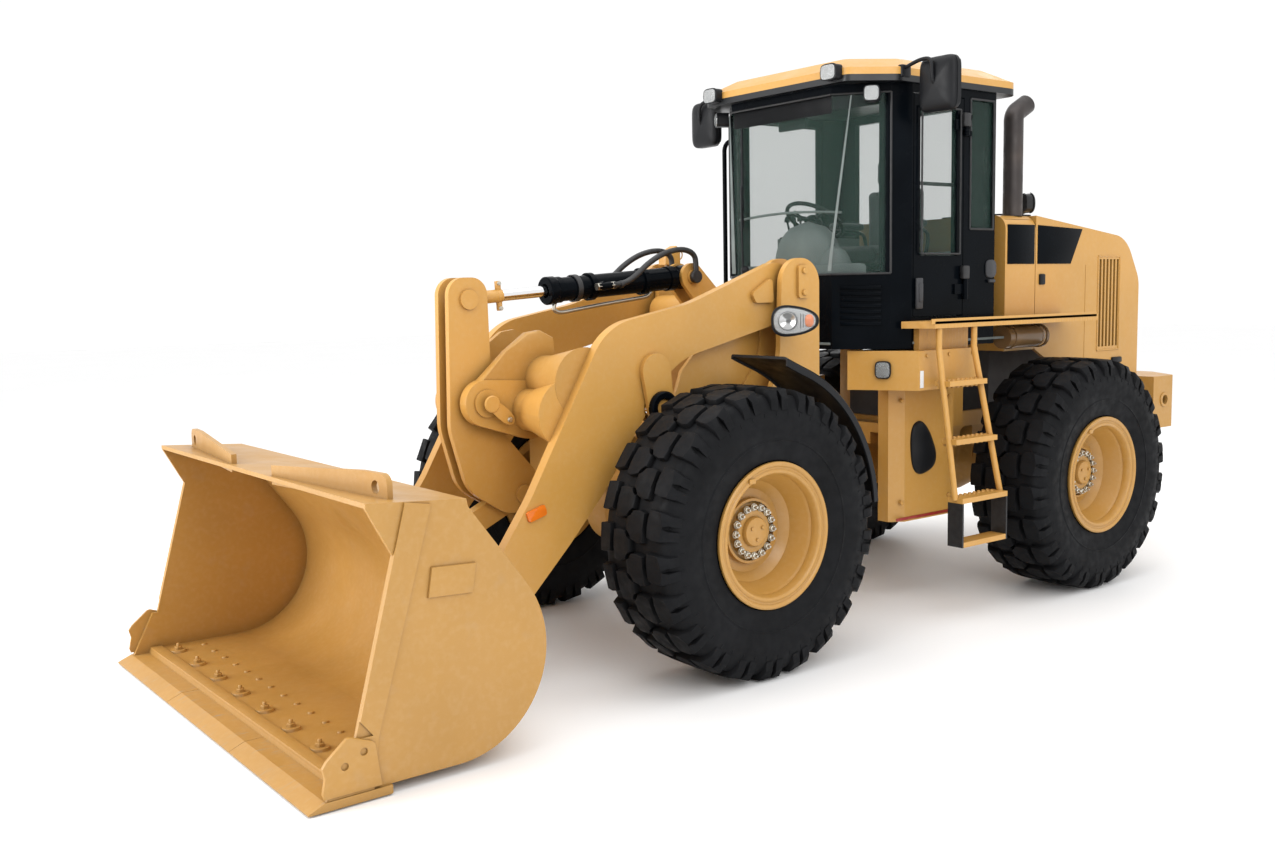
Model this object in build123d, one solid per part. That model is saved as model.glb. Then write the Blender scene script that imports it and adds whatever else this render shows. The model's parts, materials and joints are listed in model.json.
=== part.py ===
from build123d import *
import math
import os

# Wheel loader with an articulated frame and a Z-bar bucket linkage.
# Millimetres. +X is forward, +Y is the machine's left, +Z is up, and the tyres stand on Z = 0.

# Chassis
WHEELBASE = 2830
BUCKET_REACH = 2452        # front axle to the cutting edge
REAR_OVERHANG = 1720       # rear axle to the back of the counterweight
TRACK = 1940
RUNNING_GAP = 0.3          # between a pin and its bore
SIDE_GAP = 6               # beside an eye in its clevis
SEAT_GAP = 0.2             # between a tyre and its rim

# Wheels
TYRE_RADIUS = 728          # to the corners of the lugs
TYRE_WIDTH = 520
LUG_HEIGHT = 30
LUG_WIDTH = 84
LUG_COUNT = 22             # on each side of the tread
LUG_SLANT = 14
SHOULDER_DROP = 88         # from the tread down to the widest ring
RIM_RADIUS = 355
RIM_WELL = 34              # depth of the tyre's seat in the rim
SPINDLE_RADIUS = 95
HUB_RADIUS = 150

# Lift arms and linkage
ARM_THICKNESS = 60
PIN_RADIUS = 45
EAR_THICKNESS = 26
CRANK_GAP = 70             # between the bell crank's two plates
CRANK_PLATE = 35
LIFT_BARREL_RADIUS = 50
LIFT_ROD_RADIUS = 32
LIFT_MOUTH = 165           # from the lift barrel's mouth to the rod's eye
LIFT_STOP = 144            # from the base pin to the lift rod's inner end
TILT_BARREL_RADIUS = 70
TILT_ROD_RADIUS = 30
TILT_MOUTH = 528
TILT_STOP = 288
HOSE_RADIUS = 14

# Bucket
BUCKET_WIDTH = 2500
SHEET = 20
BUCKET_ROLL = 430          # radius of the rolled back
EDGE_THICKNESS = 35
EDGE_CLEARANCE = 8         # of the cutting edge above the ground

# Frames
TYRE_CLEARANCE = 80        # between a tower and its tyre
TOWER_OUTER = TRACK / 2 - TYRE_WIDTH / 2 - TYRE_CLEARANCE
TOWER_INNER = TOWER_OUTER - 190
TOWER_PLATE = 35
ARM_CENTRE = TOWER_OUTER - 100
HITCH_PIN_RADIUS = 45
HITCH_TONGUE = 60
HITCH_LOW = 480
HITCH_HIGH = 990
RAIL_HALF = 300
RAIL_PLATE = 40
RAIL_HIGH = 1080
STEER_BARREL_RADIUS = 42
STEER_ROD_RADIUS = 24
STEER_HEIGHT = 660

# Cab
CAB_FLOOR = 1560
CAB_TOP = 3080
CAB_HALF = 750
CAB_WALL = 45
CAB_ROOF = 150
SILL = 1740
WINDOW_LOW = 2000
WINDOW_HIGH = 3030
GLASS = 10
DOOR_GAP = 6

# Rear body
HOOD_HALF = 670
HOOD_LENGTH = 1260         # behind the rear axle
HOOD_SHEET = 25
HOOD_TOP = 2360
HOOD_LOW = 1257
COUNTERWEIGHT_HALF = 810
COUNTERWEIGHT_LOW = 880
WALKWAY_HALF = 950
WALKWAY_LOW = 1680
WALKWAY_PLATE = 40
SIDE_BOX_INNER = 480
HOOD_GAP = 6               # between the tilting hood and fixed pieces

# Places worked out from the sizes above
FRONT_AXLE_X = (WHEELBASE + REAR_OVERHANG - BUCKET_REACH) / 2
REAR_AXLE_X = FRONT_AXLE_X - WHEELBASE
HITCH_X = FRONT_AXLE_X - WHEELBASE / 2
LUG_TOP = math.sqrt(TYRE_RADIUS**2 - (LUG_WIDTH / 2) ** 2)
AXLE_Z = LUG_TOP


def front(x, z):
    """A side-view point given from the front axle."""
    return (FRONT_AXLE_X + x, z)


def back(x, z):
    """A side-view point given from the rear axle."""
    return (REAR_AXLE_X + x, z)


# Pins of the linkage, in side view
LIFT_PIN = front(-770, 1940)
BUCKET_PIN = front(1220, 410)
CRANK_PIN = front(980, 1380)
CRANK_TOP = front(1015, 1900)
CRANK_FOOT = front(720, 880)
LINK_PIN = front(1320, 600)
TILT_BASE = front(-450, 2000)
LIFT_BASE = front(-1000, 640)
LIFT_EYE = front(200, 1330)


# Shape helpers


def face_of(points, radius=0):
    """A closed outline with its corners rounded by one radius or by a list of them."""
    return make_face(FilletPolyline(*points, radius=radius, close=True))


def slab(points, y_low, y_high, radius=0):
    """A side-view outline as a plate between two widths."""
    return extrude(Plane.XZ.offset(-y_low) * face_of(points, radius), amount=-(y_high - y_low))


def deck(points, z_low, z_high, radius=0):
    """A plan-view outline as a plate between two heights."""
    return extrude(Plane.XY.offset(z_low) * face_of(points, radius), amount=z_high - z_low)


def disc(centre, radius, y_low, y_high):
    """A round boss or pin across the machine."""
    return extrude(Plane.XZ.offset(-y_low) * Pos(*centre) * Circle(radius), amount=-(y_high - y_low))


def strap(p, p_radius, q, q_radius, y_low, y_high):
    """A plate with two round ends joined by tangents."""
    ends = (Pos(*p) * Circle(p_radius)).edges() + (Pos(*q) * Circle(q_radius)).edges()
    return extrude(Plane.XZ.offset(-y_low) * make_hull(ends), amount=-(y_high - y_low))


def block(x_low, x_high, y_low, y_high, z_low, z_high):
    """A box between two corners."""
    middle = Pos((x_low + x_high) / 2, (y_low + y_high) / 2, (z_low + z_high) / 2)
    return middle * Box(x_high - x_low, y_high - y_low, z_high - z_low)


def bar(start, end, radius):
    """A round bar between two points."""
    length = (Vector(*end) - Vector(*start)).length
    ends = Plane(origin=start, z_dir=Vector(*end) - Vector(*start))
    return ends * Cylinder(radius, length, align=(Align.CENTER, Align.CENTER, Align.MIN))


def pipe(points, radius, bend):
    """A round tube bent along straight runs."""
    path = FilletPolyline(*points, radius=bend)
    start = Plane(origin=points[0], z_dir=Vector(*points[1]) - Vector(*points[0]))
    return sweep(start * Circle(radius), path=path)


def both(shape):
    """A shape and its mirror image on the other side of the machine."""
    return shape + mirror(shape, about=Plane.XZ)


def along(start, end, distance):
    """The point a distance from start towards end."""
    span = math.dist(start, end)
    return tuple(a + (b - a) * distance / span for a, b in zip(start, end))


def at_y(point, y):
    """A side-view point placed at a width."""
    return (point[0], y, point[1])


def save(name, shape):
    export_step(shape, os.path.join("parts", name + ".step"))


# Wheels


def faceted_ring(profile, sides):
    """A closed ring of flat facets round the Y axis, from a profile of widths and radii."""

    def corner(point, side):
        y, radius = point
        turn = 2 * math.pi * (side + 0.5) / sides
        reach = radius / math.cos(math.pi / sides)
        return (reach * math.sin(turn), y, reach * math.cos(turn))

    facets = []
    for near, far in zip(profile, profile[1:] + profile[:1]):
        for side in range(sides):
            quad = [corner(near, side), corner(near, side + 1), corner(far, side + 1), corner(far, side)]
            facets.append(Face(Wire.make_polygon(quad, close=True)))
    return Solid(Shell(facets))


def make_tyre():
    """A lugged tyre round the Y axis, centred on the origin, with one flat facet under each lug."""
    carcass = TYRE_RADIUS - LUG_HEIGHT
    shoulder = carcass - SHOULDER_DROP
    half = TYRE_WIDTH / 2
    side = [
        (half - 74, RIM_RADIUS - RIM_WELL + SEAT_GAP),
        (half, shoulder),
        (half - 45, carcass),
    ]
    tyre = faceted_ring(side + [(-y, radius) for y, radius in reversed(side)], 2 * LUG_COUNT)
    inner = -35
    outer = half - 14
    lug_face = Polyline(
        (-LUG_WIDTH / 2, outer),
        (LUG_WIDTH / 2 - LUG_SLANT, outer),
        (LUG_WIDTH / 2, inner),
        (-LUG_WIDTH / 2 + LUG_SLANT, inner),
        close=True,
    )
    root = shoulder - 7
    lug = extrude(Plane.XY.offset(root) * make_face(lug_face), amount=LUG_TOP - root)
    pitch = 360 / LUG_COUNT
    lugs = []
    for step in range(LUG_COUNT):
        lugs.append(Rot(0, step * pitch, 0) * lug)
        lugs.append(Rot(0, (step + 0.5) * pitch, 0) * Rot(0, 0, 180) * lug)
    return tyre + lugs


def make_rim():
    """A deep-dished rim round the Y axis, with its outer side towards +Y."""
    half = TYRE_WIDTH / 2
    flange = half - 24
    well = RIM_RADIUS - RIM_WELL
    barrel = RIM_RADIUS - 62
    disc_out = 40
    outline = [
        (SPINDLE_RADIUS + RUNNING_GAP, disc_out - 40),
        (SPINDLE_RADIUS + RUNNING_GAP, disc_out + 12),
        (0, disc_out + 12),
        (0, disc_out + 46),
        (HUB_RADIUS - 45, disc_out + 46),
        (HUB_RADIUS - 20, disc_out + 14),
        (HUB_RADIUS + 20, disc_out),
        (HUB_RADIUS + 60, disc_out),
        (barrel - 40, disc_out + 40),
        (barrel, flange - 60),
        (RIM_RADIUS - 30, flange),
        (RIM_RADIUS, flange),
        (RIM_RADIUS, flange - 16),
        (well, half - 72),
        (well, -half + 72),
        (RIM_RADIUS, -flange + 16),
        (RIM_RADIUS, -flange),
        (barrel, -flange + 40),
        (barrel, disc_out - 60),
        (HUB_RADIUS + 60, disc_out - 40),
    ]
    return revolve(make_face(Polyline(*outline, close=True)), Axis.Y)


def make_axle(x):
    """A drive axle with final drives and spindles, across the machine."""
    inner = TRACK / 2 - TYRE_WIDTH / 2 - 20
    outline = [
        (0, 0),
        (225, 0),
        (215, 90),
        (150, 210),
        (112, 330),
        (112, inner - 120),
        (HUB_RADIUS, inner - 60),
        (HUB_RADIUS, TRACK / 2 - 60),
        (SPINDLE_RADIUS, TRACK / 2 - 20),
        (SPINDLE_RADIUS, TRACK / 2 + 40),
        (0, TRACK / 2 + 40),
    ]
    half = revolve(make_face(Polyline(*outline, close=True)), Axis.Y)
    return Pos(x, 0, AXLE_Z) * both(half)


def make_wheels():
    tyre = make_tyre()
    rim = make_rim()
    for end, x in (("front", FRONT_AXLE_X), ("rear", REAR_AXLE_X)):
        save(f"tyre_{end}_left", Pos(x, TRACK / 2, AXLE_Z) * tyre)
        save(f"rim_{end}_left", Pos(x, TRACK / 2, AXLE_Z) * rim)
        save(f"tyre_{end}_right", Pos(x, -TRACK / 2, AXLE_Z) * mirror(tyre, about=Plane.XZ))
        save(f"rim_{end}_right", Pos(x, -TRACK / 2, AXLE_Z) * mirror(rim, about=Plane.XZ))


# Bucket

BUCKET_HALF = BUCKET_WIDTH / 2
FLOOR_Z = EDGE_CLEARANCE + EDGE_THICKNESS
BUCKET_TOP_REAR = front(1742, 1114)
BUCKET_TOP_FRONT = front(2004, 1140)
BUCKET_LIP = front(2300, FLOOR_Z)
BUCKET_HEEL = front(940, FLOOR_Z)
EDGE_TIP = front(BUCKET_REACH, EDGE_CLEARANCE)
TOP_PLATE_FRONT = (BUCKET_TOP_FRONT[0] + 160, BUCKET_TOP_FRONT[1] + 12)
EDGE_REAR = front(2104, EDGE_CLEARANCE)


def bucket_section(inset):
    """The bucket's side outline, moved inwards along the back and the floor."""
    run = (BUCKET_TOP_REAR[0] - BUCKET_HEEL[0], BUCKET_TOP_REAR[1] - BUCKET_HEEL[1])
    length = math.hypot(*run)
    slope = run[0] / length, run[1] / length
    top = (BUCKET_TOP_REAR[0] + slope[1] * inset, BUCKET_TOP_REAR[1] - slope[0] * inset)
    heel_shift = inset * (1 + slope[0]) / slope[1]
    heel = (BUCKET_HEEL[0] + heel_shift, FLOOR_Z + inset)
    lip = (BUCKET_LIP[0], FLOOR_Z + inset)
    return top, heel, lip, BUCKET_ROLL - inset


def bucket_solid(inset, y_low, y_high, reach=0):
    """The space inside the bucket's side outline, stretched past its mouth by a reach."""
    top, heel, lip, roll = bucket_section(inset)
    mouth = (BUCKET_TOP_FRONT[0] + reach, BUCKET_TOP_FRONT[1])
    points = [top, mouth, (lip[0] + reach, lip[1]), heel]
    return slab(points, y_low, y_high, [0, 0, 0, roll])


def make_bucket_shell():
    outside = bucket_solid(0, -BUCKET_HALF, BUCKET_HALF)
    inner_width = BUCKET_HALF - SHEET
    top, heel, lip, roll = bucket_section(SHEET)
    above = BUCKET_TOP_FRONT[1] + 200
    ahead = lip[0] + 600
    hollow_points = [top, (top[0] + 1, above), (ahead, above), (ahead, lip[1]), heel]
    shell = outside - slab(hollow_points, -inner_width, inner_width, [0, 0, 0, 0, roll])
    shell += make_bucket_top()
    shell += make_bucket_ears()
    return shell + both(make_side_cutter())


SIDE_CUTTER = 10           # thickness of the wear strip on each side plate


def make_side_cutter():
    """Wear strip along a side plate's front edge, with a bolted corner shoe below and a gusset above."""
    strip = slab(
        [
            BUCKET_TOP_FRONT,
            along(BUCKET_TOP_FRONT, BUCKET_LIP, 850),
            front(2156, 231),
            front(1892, BUCKET_TOP_FRONT[1] - SHEET),
        ],
        BUCKET_HALF - SHEET / 2,
        BUCKET_HALF + SIDE_CUTTER,
    )
    shoe = slab(
        [front(2150, 255), front(2268, 255), front(2375, FLOOR_Z), front(2180, FLOOR_Z)],
        BUCKET_HALF - SHEET,
        BUCKET_HALF + SIDE_CUTTER,
    )
    for hole in (front(2215, 175), front(2270, 95)):
        shoe -= disc(hole, 16, BUCKET_HALF - SHEET - 5, BUCKET_HALF + SIDE_CUTTER + 5)
    gusset = slab(
        [
            BUCKET_TOP_FRONT,
            (TOP_PLATE_FRONT[0], TOP_PLATE_FRONT[1] - SHEET),
            along(BUCKET_TOP_FRONT, BUCKET_LIP, 210),
        ],
        BUCKET_HALF - SHEET,
        BUCKET_HALF,
    )
    return strip + shoe + gusset


def make_bucket_top():
    """The top plate with its two lifting lugs."""
    plate = slab(
        [
            (BUCKET_TOP_REAR[0] - 20, BUCKET_TOP_REAR[1] - 30),
            (BUCKET_TOP_REAR[0] - 12, BUCKET_TOP_REAR[1] + 8),
            TOP_PLATE_FRONT,
            (TOP_PLATE_FRONT[0], TOP_PLATE_FRONT[1] - SHEET),
            (BUCKET_TOP_REAR[0] + 40, BUCKET_TOP_REAR[1] - SHEET),
        ],
        -BUCKET_HALF,
        BUCKET_HALF,
    )
    lug_outline = make_face(
        FilletPolyline(
            (250, -30), (1170, -30), (1170, 100), (980, 100), (250, 55), radius=[0, 0, 45, 60, 0], close=True
        )
    )
    lug_hole = Pos(1085, 42) * Circle(28)
    lug = extrude(lug_outline - lug_hole, amount=25)
    placed = Plane(
        origin=(BUCKET_TOP_FRONT[0] + 140, 0, BUCKET_TOP_FRONT[1]), x_dir=(-0.12, 1, 0), z_dir=(1, 0.12, 0)
    )
    return plate + both(placed * lug)


def make_bucket_ears():
    """Hinge ears for the lift arms and for the tilt link, rooted in the back sheet."""
    arm_half = ARM_THICKNESS / 2 + SIDE_GAP
    ears = None
    for low in (ARM_CENTRE - arm_half - EAR_THICKNESS, ARM_CENTRE + arm_half):
        ear = strap(BUCKET_PIN, 85, (BUCKET_PIN[0] + 260, BUCKET_PIN[1] + 60), 190, low, low + EAR_THICKNESS)
        ears = ear if ears is None else ears + ear
    pin_low = ARM_CENTRE - arm_half - EAR_THICKNESS - 18
    pin_high = ARM_CENTRE + arm_half + EAR_THICKNESS + 18
    pin = disc(BUCKET_PIN, PIN_RADIUS, pin_low, pin_high)
    link_low = CRANK_GAP / 2 + SIDE_GAP
    link_high = link_low + EAR_THICKNESS
    link_ear = strap(LINK_PIN, 62, (LINK_PIN[0] + 190, LINK_PIN[1] + 30), 150, link_low, link_high)
    link_pin_half = link_low + EAR_THICKNESS + 14
    inside = bucket_solid(SHEET / 2, -BUCKET_HALF, BUCKET_HALF, 500)
    plates = both(ears + link_ear) - inside
    return plates + both(pin) + disc(LINK_PIN, PIN_RADIUS - 10, -link_pin_half, link_pin_half)


def make_bucket_edge():
    """Bolt-on cutting edge under the lip, in three lengths."""
    nose = 70
    points = [
        EDGE_REAR,
        EDGE_TIP,
        (EDGE_TIP[0], EDGE_TIP[1] + 6),
        (EDGE_TIP[0] - nose, FLOOR_Z),
        (EDGE_REAR[0], FLOOR_Z),
    ]
    half = BUCKET_HALF + 15
    joint = 3
    third = 2 * half / 3
    middle = slab(points, -third / 2, third / 2)
    return middle + both(slab(points, third / 2 + joint, half))


# Lift arms and linkage


def make_lift_arms():
    low = ARM_CENTRE - ARM_THICKNESS / 2
    high = ARM_CENTRE + ARM_THICKNESS / 2
    outline = [
        front(-860, 1985),
        front(-640, 2075),
        front(-30, 1858),
        front(520, 1755),
        front(990, 940),
        front(1330, 460),
        front(1300, 330),
        front(1130, 330),
        front(760, 700),
        front(560, 920),
        front(90, 1560),
        front(-660, 1735),
        front(-860, 1850),
    ]
    rounds = [70, 120, 900, 330, 700, 60, 75, 60, 300, 500, 420, 120, 70]
    boss = 25
    arm = slab(outline, low, high, rounds)
    arm += disc(LIFT_PIN, 105, low - boss, high + boss)
    arm += disc(BUCKET_PIN, 100, low - SIDE_GAP + 2, high + SIDE_GAP - 2)
    wedge = [front(-600, 1850), front(-590, 1990), front(-440, 1900), front(-470, 1850)]
    arm += slab(wedge, high, high + boss, 20)
    lug_root = (LIFT_EYE[0] + 30, LIFT_EYE[1] + 190)
    pin_head = 10
    for lug_low in (low - EAR_THICKNESS - SIDE_GAP, high + SIDE_GAP):
        arm += strap(LIFT_EYE, 82, lug_root, 90, lug_low, lug_low + EAR_THICKNESS)
    arm += disc(LIFT_EYE, 46, low - EAR_THICKNESS - SIDE_GAP - pin_head, low - SIDE_GAP)
    arm += disc(LIFT_EYE, 46, high + SIDE_GAP, high + SIDE_GAP + EAR_THICKNESS + pin_head)
    arm += disc(lug_root, 90, low - SIDE_GAP, high + SIDE_GAP)
    arm -= disc(LIFT_EYE, 92, low - 4, high + 4)
    for pin in (LIFT_PIN, BUCKET_PIN):
        arm -= disc(pin, PIN_RADIUS + RUNNING_GAP, low - 2 * boss, high + 2 * boss)
    return both(arm) + make_cross_tube(low)


def make_cross_tube(reach):
    """Tapered tube between the arms, with the bracket that holds the bell crank."""
    centre = front(720, 1330)
    taper = make_face(
        Polyline((0, 0), (112, 0), (112, 230), (175, reach + 4), (0, reach + 4), close=True)
    )
    tube = Pos(centre[0], 0, centre[1]) * both(revolve(taper, Axis.Y))
    gap = CRANK_GAP / 2 + CRANK_PLATE + 28
    cheek = strap(CRANK_PIN, 118, centre, 150, gap, gap + 60)
    pin = disc(CRANK_PIN, PIN_RADIUS + 5, -gap - 70, gap + 70)
    cap = disc(CRANK_PIN, 70, gap + 60, gap + 75)
    return tube + both(cheek + cap) + pin


def make_bell_crank():
    outline = [
        front(905, 2010),
        front(1125, 2010),
        front(1140, 1250),
        front(1050, 930),
        front(830, 790),
        front(625, 785),
        front(625, 975),
        front(850, 1230),
        front(895, 1420),
    ]
    low = CRANK_GAP / 2
    plate = slab(outline, low, low + CRANK_PLATE, [90, 90, 260, 200, 150, 90, 90, 250, 250])
    plate += disc(CRANK_TOP, 50, low + CRANK_PLATE, low + CRANK_PLATE + 16)
    plate += disc(CRANK_FOOT, 50, low + CRANK_PLATE, low + CRANK_PLATE + 16)
    hub_half = low + CRANK_PLATE + 22
    hub = disc(CRANK_PIN, 105, -hub_half, hub_half)
    bore = disc(CRANK_PIN, PIN_RADIUS + 5 + RUNNING_GAP, -hub_half - 5, hub_half + 5)
    return both(plate) + hub - bore


def make_tilt_link():
    half = CRANK_GAP / 2 - SIDE_GAP / 2
    link = strap(LINK_PIN, 56, CRANK_FOOT, 62, -half, half)
    return link - disc(LINK_PIN, PIN_RADIUS - 10 + RUNNING_GAP, -half - 5, half + 5)


# Cylinders


def make_barrel(base, eye, y, radius, length, rod_radius, eye_radius, pin_radius, half_width):
    """A cylinder's barrel with its base eye, bored for the rod."""

    def point(distance):
        return at_y(along(base, eye, distance), y)

    foot = eye_radius + 24
    barrel = bar(point(foot), point(length), radius - 6)
    barrel += bar(point(foot), point(foot + 50), radius) + bar(point(length - 70), point(length), radius)
    barrel += bar(point(0), point(foot + 10), min(half_width, eye_radius))
    barrel += disc(base, eye_radius, y - half_width, y + half_width)
    barrel -= bar(point(foot + 10), point(length + 20), rod_radius + RUNNING_GAP)
    return barrel - disc(base, pin_radius + RUNNING_GAP, y - radius, y + radius)


def make_rod(base, eye, y, rod_radius, length, eye_radius, half_width):
    """A cylinder's rod with its eye, which carries a length of the pin."""
    rod_end = at_y(along(eye, base, length), y)
    rod = bar(at_y(eye, y), rod_end, rod_radius)
    return rod + disc(eye, eye_radius, y - half_width, y + half_width)


def make_lift_cylinders():
    half = ARM_THICKNESS / 2
    span = math.dist(LIFT_BASE, LIFT_EYE)
    length = span - LIFT_MOUTH
    barrel = make_barrel(
        LIFT_BASE, LIFT_EYE, ARM_CENTRE, LIFT_BARREL_RADIUS, length, LIFT_ROD_RADIUS, 62, PIN_RADIUS, half
    )
    rod = make_rod(LIFT_BASE, LIFT_EYE, ARM_CENTRE, LIFT_ROD_RADIUS, span - LIFT_STOP, 60, half)
    return both(barrel), both(rod)


HOSE_Y = 107.3
FITTING_RADIUS = 20
PORT = (600, 690)          # the hose fitting's ends along the barrel, from the base pin


def beside_tilt(distance, rise, y):
    """A point along the tilt cylinder, raised square to it and moved across the machine."""
    foot = along(TILT_BASE, CRANK_TOP, distance)
    run = math.dist(TILT_BASE, CRANK_TOP)
    lean = ((CRANK_TOP[0] - TILT_BASE[0]) / run, (CRANK_TOP[1] - TILT_BASE[1]) / run)
    return (foot[0] - lean[1] * rise, y, foot[1] + lean[0] * rise)


def make_tilt_cylinder():
    half = CRANK_GAP / 2 - SIDE_GAP / 2
    span = math.dist(TILT_BASE, CRANK_TOP)
    length = span - TILT_MOUTH
    barrel = make_barrel(
        TILT_BASE, CRANK_TOP, 0, TILT_BARREL_RADIUS, length, TILT_ROD_RADIUS, 68, PIN_RADIUS - 5, 45
    )
    middle = (PORT[0] + PORT[1]) / 2
    fitting = bar(beside_tilt(PORT[0], 0, HOSE_Y), beside_tilt(PORT[1], 0, HOSE_Y), FITTING_RADIUS)
    boss = FITTING_RADIUS + 6
    fitting += bar(beside_tilt(middle, 0, TILT_BARREL_RADIUS - 20), beside_tilt(middle, 0, HOSE_Y), boss)
    rod = make_rod(TILT_BASE, CRANK_TOP, 0, TILT_ROD_RADIUS, span - TILT_STOP, 62, half)
    return barrel + both(fitting), rod


def make_tilt_hoses():
    """Hoses from the barrel's fittings, arched back to swivel caps on the base pin's ends."""
    route = [(PORT[0], 0), (440, 0), (270, 125), (70, 150), (0, 60), (0, 0)]
    hose = pipe([beside_tilt(*point, HOSE_Y) for point in route], HOSE_RADIUS, 80)
    cap = disc(TILT_BASE, 36, HOSE_Y - HOSE_RADIUS, HOSE_Y + HOSE_RADIUS)
    return both(hose + cap)


STEER_BASE = (HITCH_X - 750, 380)
STEER_EYE = (HITCH_X + 200, 330)


def steer_bar(near, far, radius):
    """A bar between two distances along the left steering cylinder, from its base."""
    start = along(STEER_BASE, STEER_EYE, near)
    end = along(STEER_BASE, STEER_EYE, far)
    return bar((*start, STEER_HEIGHT), (*end, STEER_HEIGHT), radius)


def upright(centre, radius, z_low, z_high):
    """A vertical pin or boss."""
    return Pos(*centre, (z_low + z_high) / 2) * Cylinder(radius, z_high - z_low)


STEER_EYE_HALF = 28
STEER_PIN_RADIUS = 25


def make_steer_cylinder():
    span = math.dist(STEER_BASE, STEER_EYE)
    barrel = steer_bar(75, 590, STEER_BARREL_RADIUS) + steer_bar(0, 80, STEER_EYE_HALF)
    low = STEER_HEIGHT - STEER_EYE_HALF
    high = STEER_HEIGHT + STEER_EYE_HALF
    barrel += upright(STEER_BASE, 48, low, high)
    barrel -= upright(STEER_BASE, STEER_PIN_RADIUS + RUNNING_GAP, low - 20, high + 20)
    barrel -= steer_bar(85, 620, STEER_ROD_RADIUS + RUNNING_GAP)
    rod = steer_bar(330, span, STEER_ROD_RADIUS)
    rod += upright(STEER_EYE, 44, low, high)
    return barrel, rod


# Front frame


TILT_BEAM = front(-640, 1800)
TILT_BEAM_RADIUS = 95


def make_front_frame():
    """Inner tower plates, cross plates and the beam that carries the tilt cylinder's ears."""
    reach = TOWER_INNER + 10
    ear_low = 45 + SIDE_GAP
    ear = strap(TILT_BASE, 78, TILT_BEAM, TILT_BEAM_RADIUS - 5, ear_low, ear_low + EAR_THICKNESS)
    pin_half = ear_low + EAR_THICKNESS + 16
    frame = make_inner_towers() + make_front_box() + disc(TILT_BEAM, TILT_BEAM_RADIUS, -reach, reach)
    return frame + both(ear) + disc(TILT_BASE, PIN_RADIUS - 5, -pin_half, pin_half)


def tower_bores(y_low, y_high):
    """The holes of the lift arm's pin and the lift cylinder's base pin through a tower plate."""
    bore = PIN_RADIUS + SEAT_GAP
    return disc(LIFT_PIN, bore, y_low - 5, y_high + 5) + disc(LIFT_BASE, bore, y_low - 5, y_high + 5)


def make_inner_towers():
    """The long tower plates inside the lift arms, each with the web that carries its outer plate."""
    outline = [
        front(-905, 1150),
        front(-905, 2090),
        front(-620, 2090),
        front(-600, 1560),
        front(-330, 1230),
        front(330, 1180),
        front(330, 900),
        front(-250, 900),
        front(-420, 560),
        front(-1065, 560),
        front(-1065, 900),
    ]
    face = TOWER_INNER + TOWER_PLATE
    plate = slab(outline, TOWER_INNER, face, [90, 140, 140, 300, 200, 60, 40, 60, 60, 60, 90])
    web_x = front(-905, 0)[0]
    web = block(web_x, web_x + 30, TOWER_INNER, TOWER_OUTER - TOWER_PLATE, 1150, 1700)
    return both(plate + web - tower_bores(TOWER_INNER, face))


def make_tower_plates():
    """The outer tower plates, each with a keeper over the lift arm's pin."""
    outline = [
        front(-905, 1150),
        front(-905, 2090),
        front(-620, 2090),
        front(-600, 1560),
        front(-480, 1230),
        front(-650, 560),
        front(-1065, 560),
        front(-1065, 900),
    ]
    face = TOWER_OUTER - TOWER_PLATE
    plate = slab(outline, face, TOWER_OUTER, [90, 140, 140, 300, 300, 60, 60, 90])
    plate -= tower_bores(face, TOWER_OUTER)
    low = (LIFT_PIN[0] - 40, LIFT_PIN[1] - 70)
    high = (LIFT_PIN[0] + 40, LIFT_PIN[1] + 110)
    keeper = slab([low, (low[0], high[1]), high, (high[0], low[1])], TOWER_OUTER, TOWER_OUTER + 18, 18)
    return both(plate + keeper)


def make_tower_pins():
    """Pins of the lift arms and of the lift cylinders' bases."""
    low = TOWER_INNER + 5
    arm_pin = disc(LIFT_PIN, PIN_RADIUS, low, TOWER_OUTER)
    return both(arm_pin + disc(LIFT_BASE, PIN_RADIUS, low, TOWER_OUTER + 15))


def make_front_box():
    """Cross plates, hitch tongues and steering lugs between the towers."""
    reach = TOWER_INNER + 5
    box = block(front(-1065, 0)[0], front(-1035, 0)[0], -reach, reach, HITCH_LOW, 1150)
    box += block(front(-1050, 0)[0], front(330, 0)[0], -reach, reach, 1150, 1180)
    box += block(front(300, 0)[0], front(330, 0)[0], -reach, reach, 900, 1170)
    tongue_points = [
        (HITCH_X - 130, -130),
        (HITCH_X - 130, 130),
        (front(-1065, 0)[0], 330),
        (front(-1045, 0)[0], 330),
        (front(-1045, 0)[0], -330),
        (front(-1065, 0)[0], -330),
    ]
    for low in (HITCH_LOW, HITCH_HIGH):
        tongue = deck(tongue_points, low, low + HITCH_TONGUE, [129, 129, 0, 0, 0, 0])
        tongue += deck([(front(-1065, 0)[0], -reach), (front(-1065, 0)[0], reach), (front(-950, 0)[0], reach),
                        (front(-950, 0)[0], -reach)], low, low + HITCH_TONGUE)
        bore = HITCH_PIN_RADIUS + RUNNING_GAP
        box += tongue - upright((HITCH_X, 0), bore, low - 10, low + HITCH_TONGUE + 10)
    for low in (STEER_HEIGHT - STEER_EYE_HALF - SIDE_GAP - 30, STEER_HEIGHT + STEER_EYE_HALF + SIDE_GAP):
        lug = deck(
            [
                (STEER_EYE[0] - 55, STEER_EYE[1] - 60),
                (STEER_EYE[0] - 55, STEER_EYE[1] + 60),
                (front(-1040, 0)[0], STEER_EYE[1] + 60),
                (front(-1040, 0)[0], STEER_EYE[1] - 60),
            ],
            low,
            low + 30,
            [50, 50, 0, 0],
        )
        box += both(lug)
    return box


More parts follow.
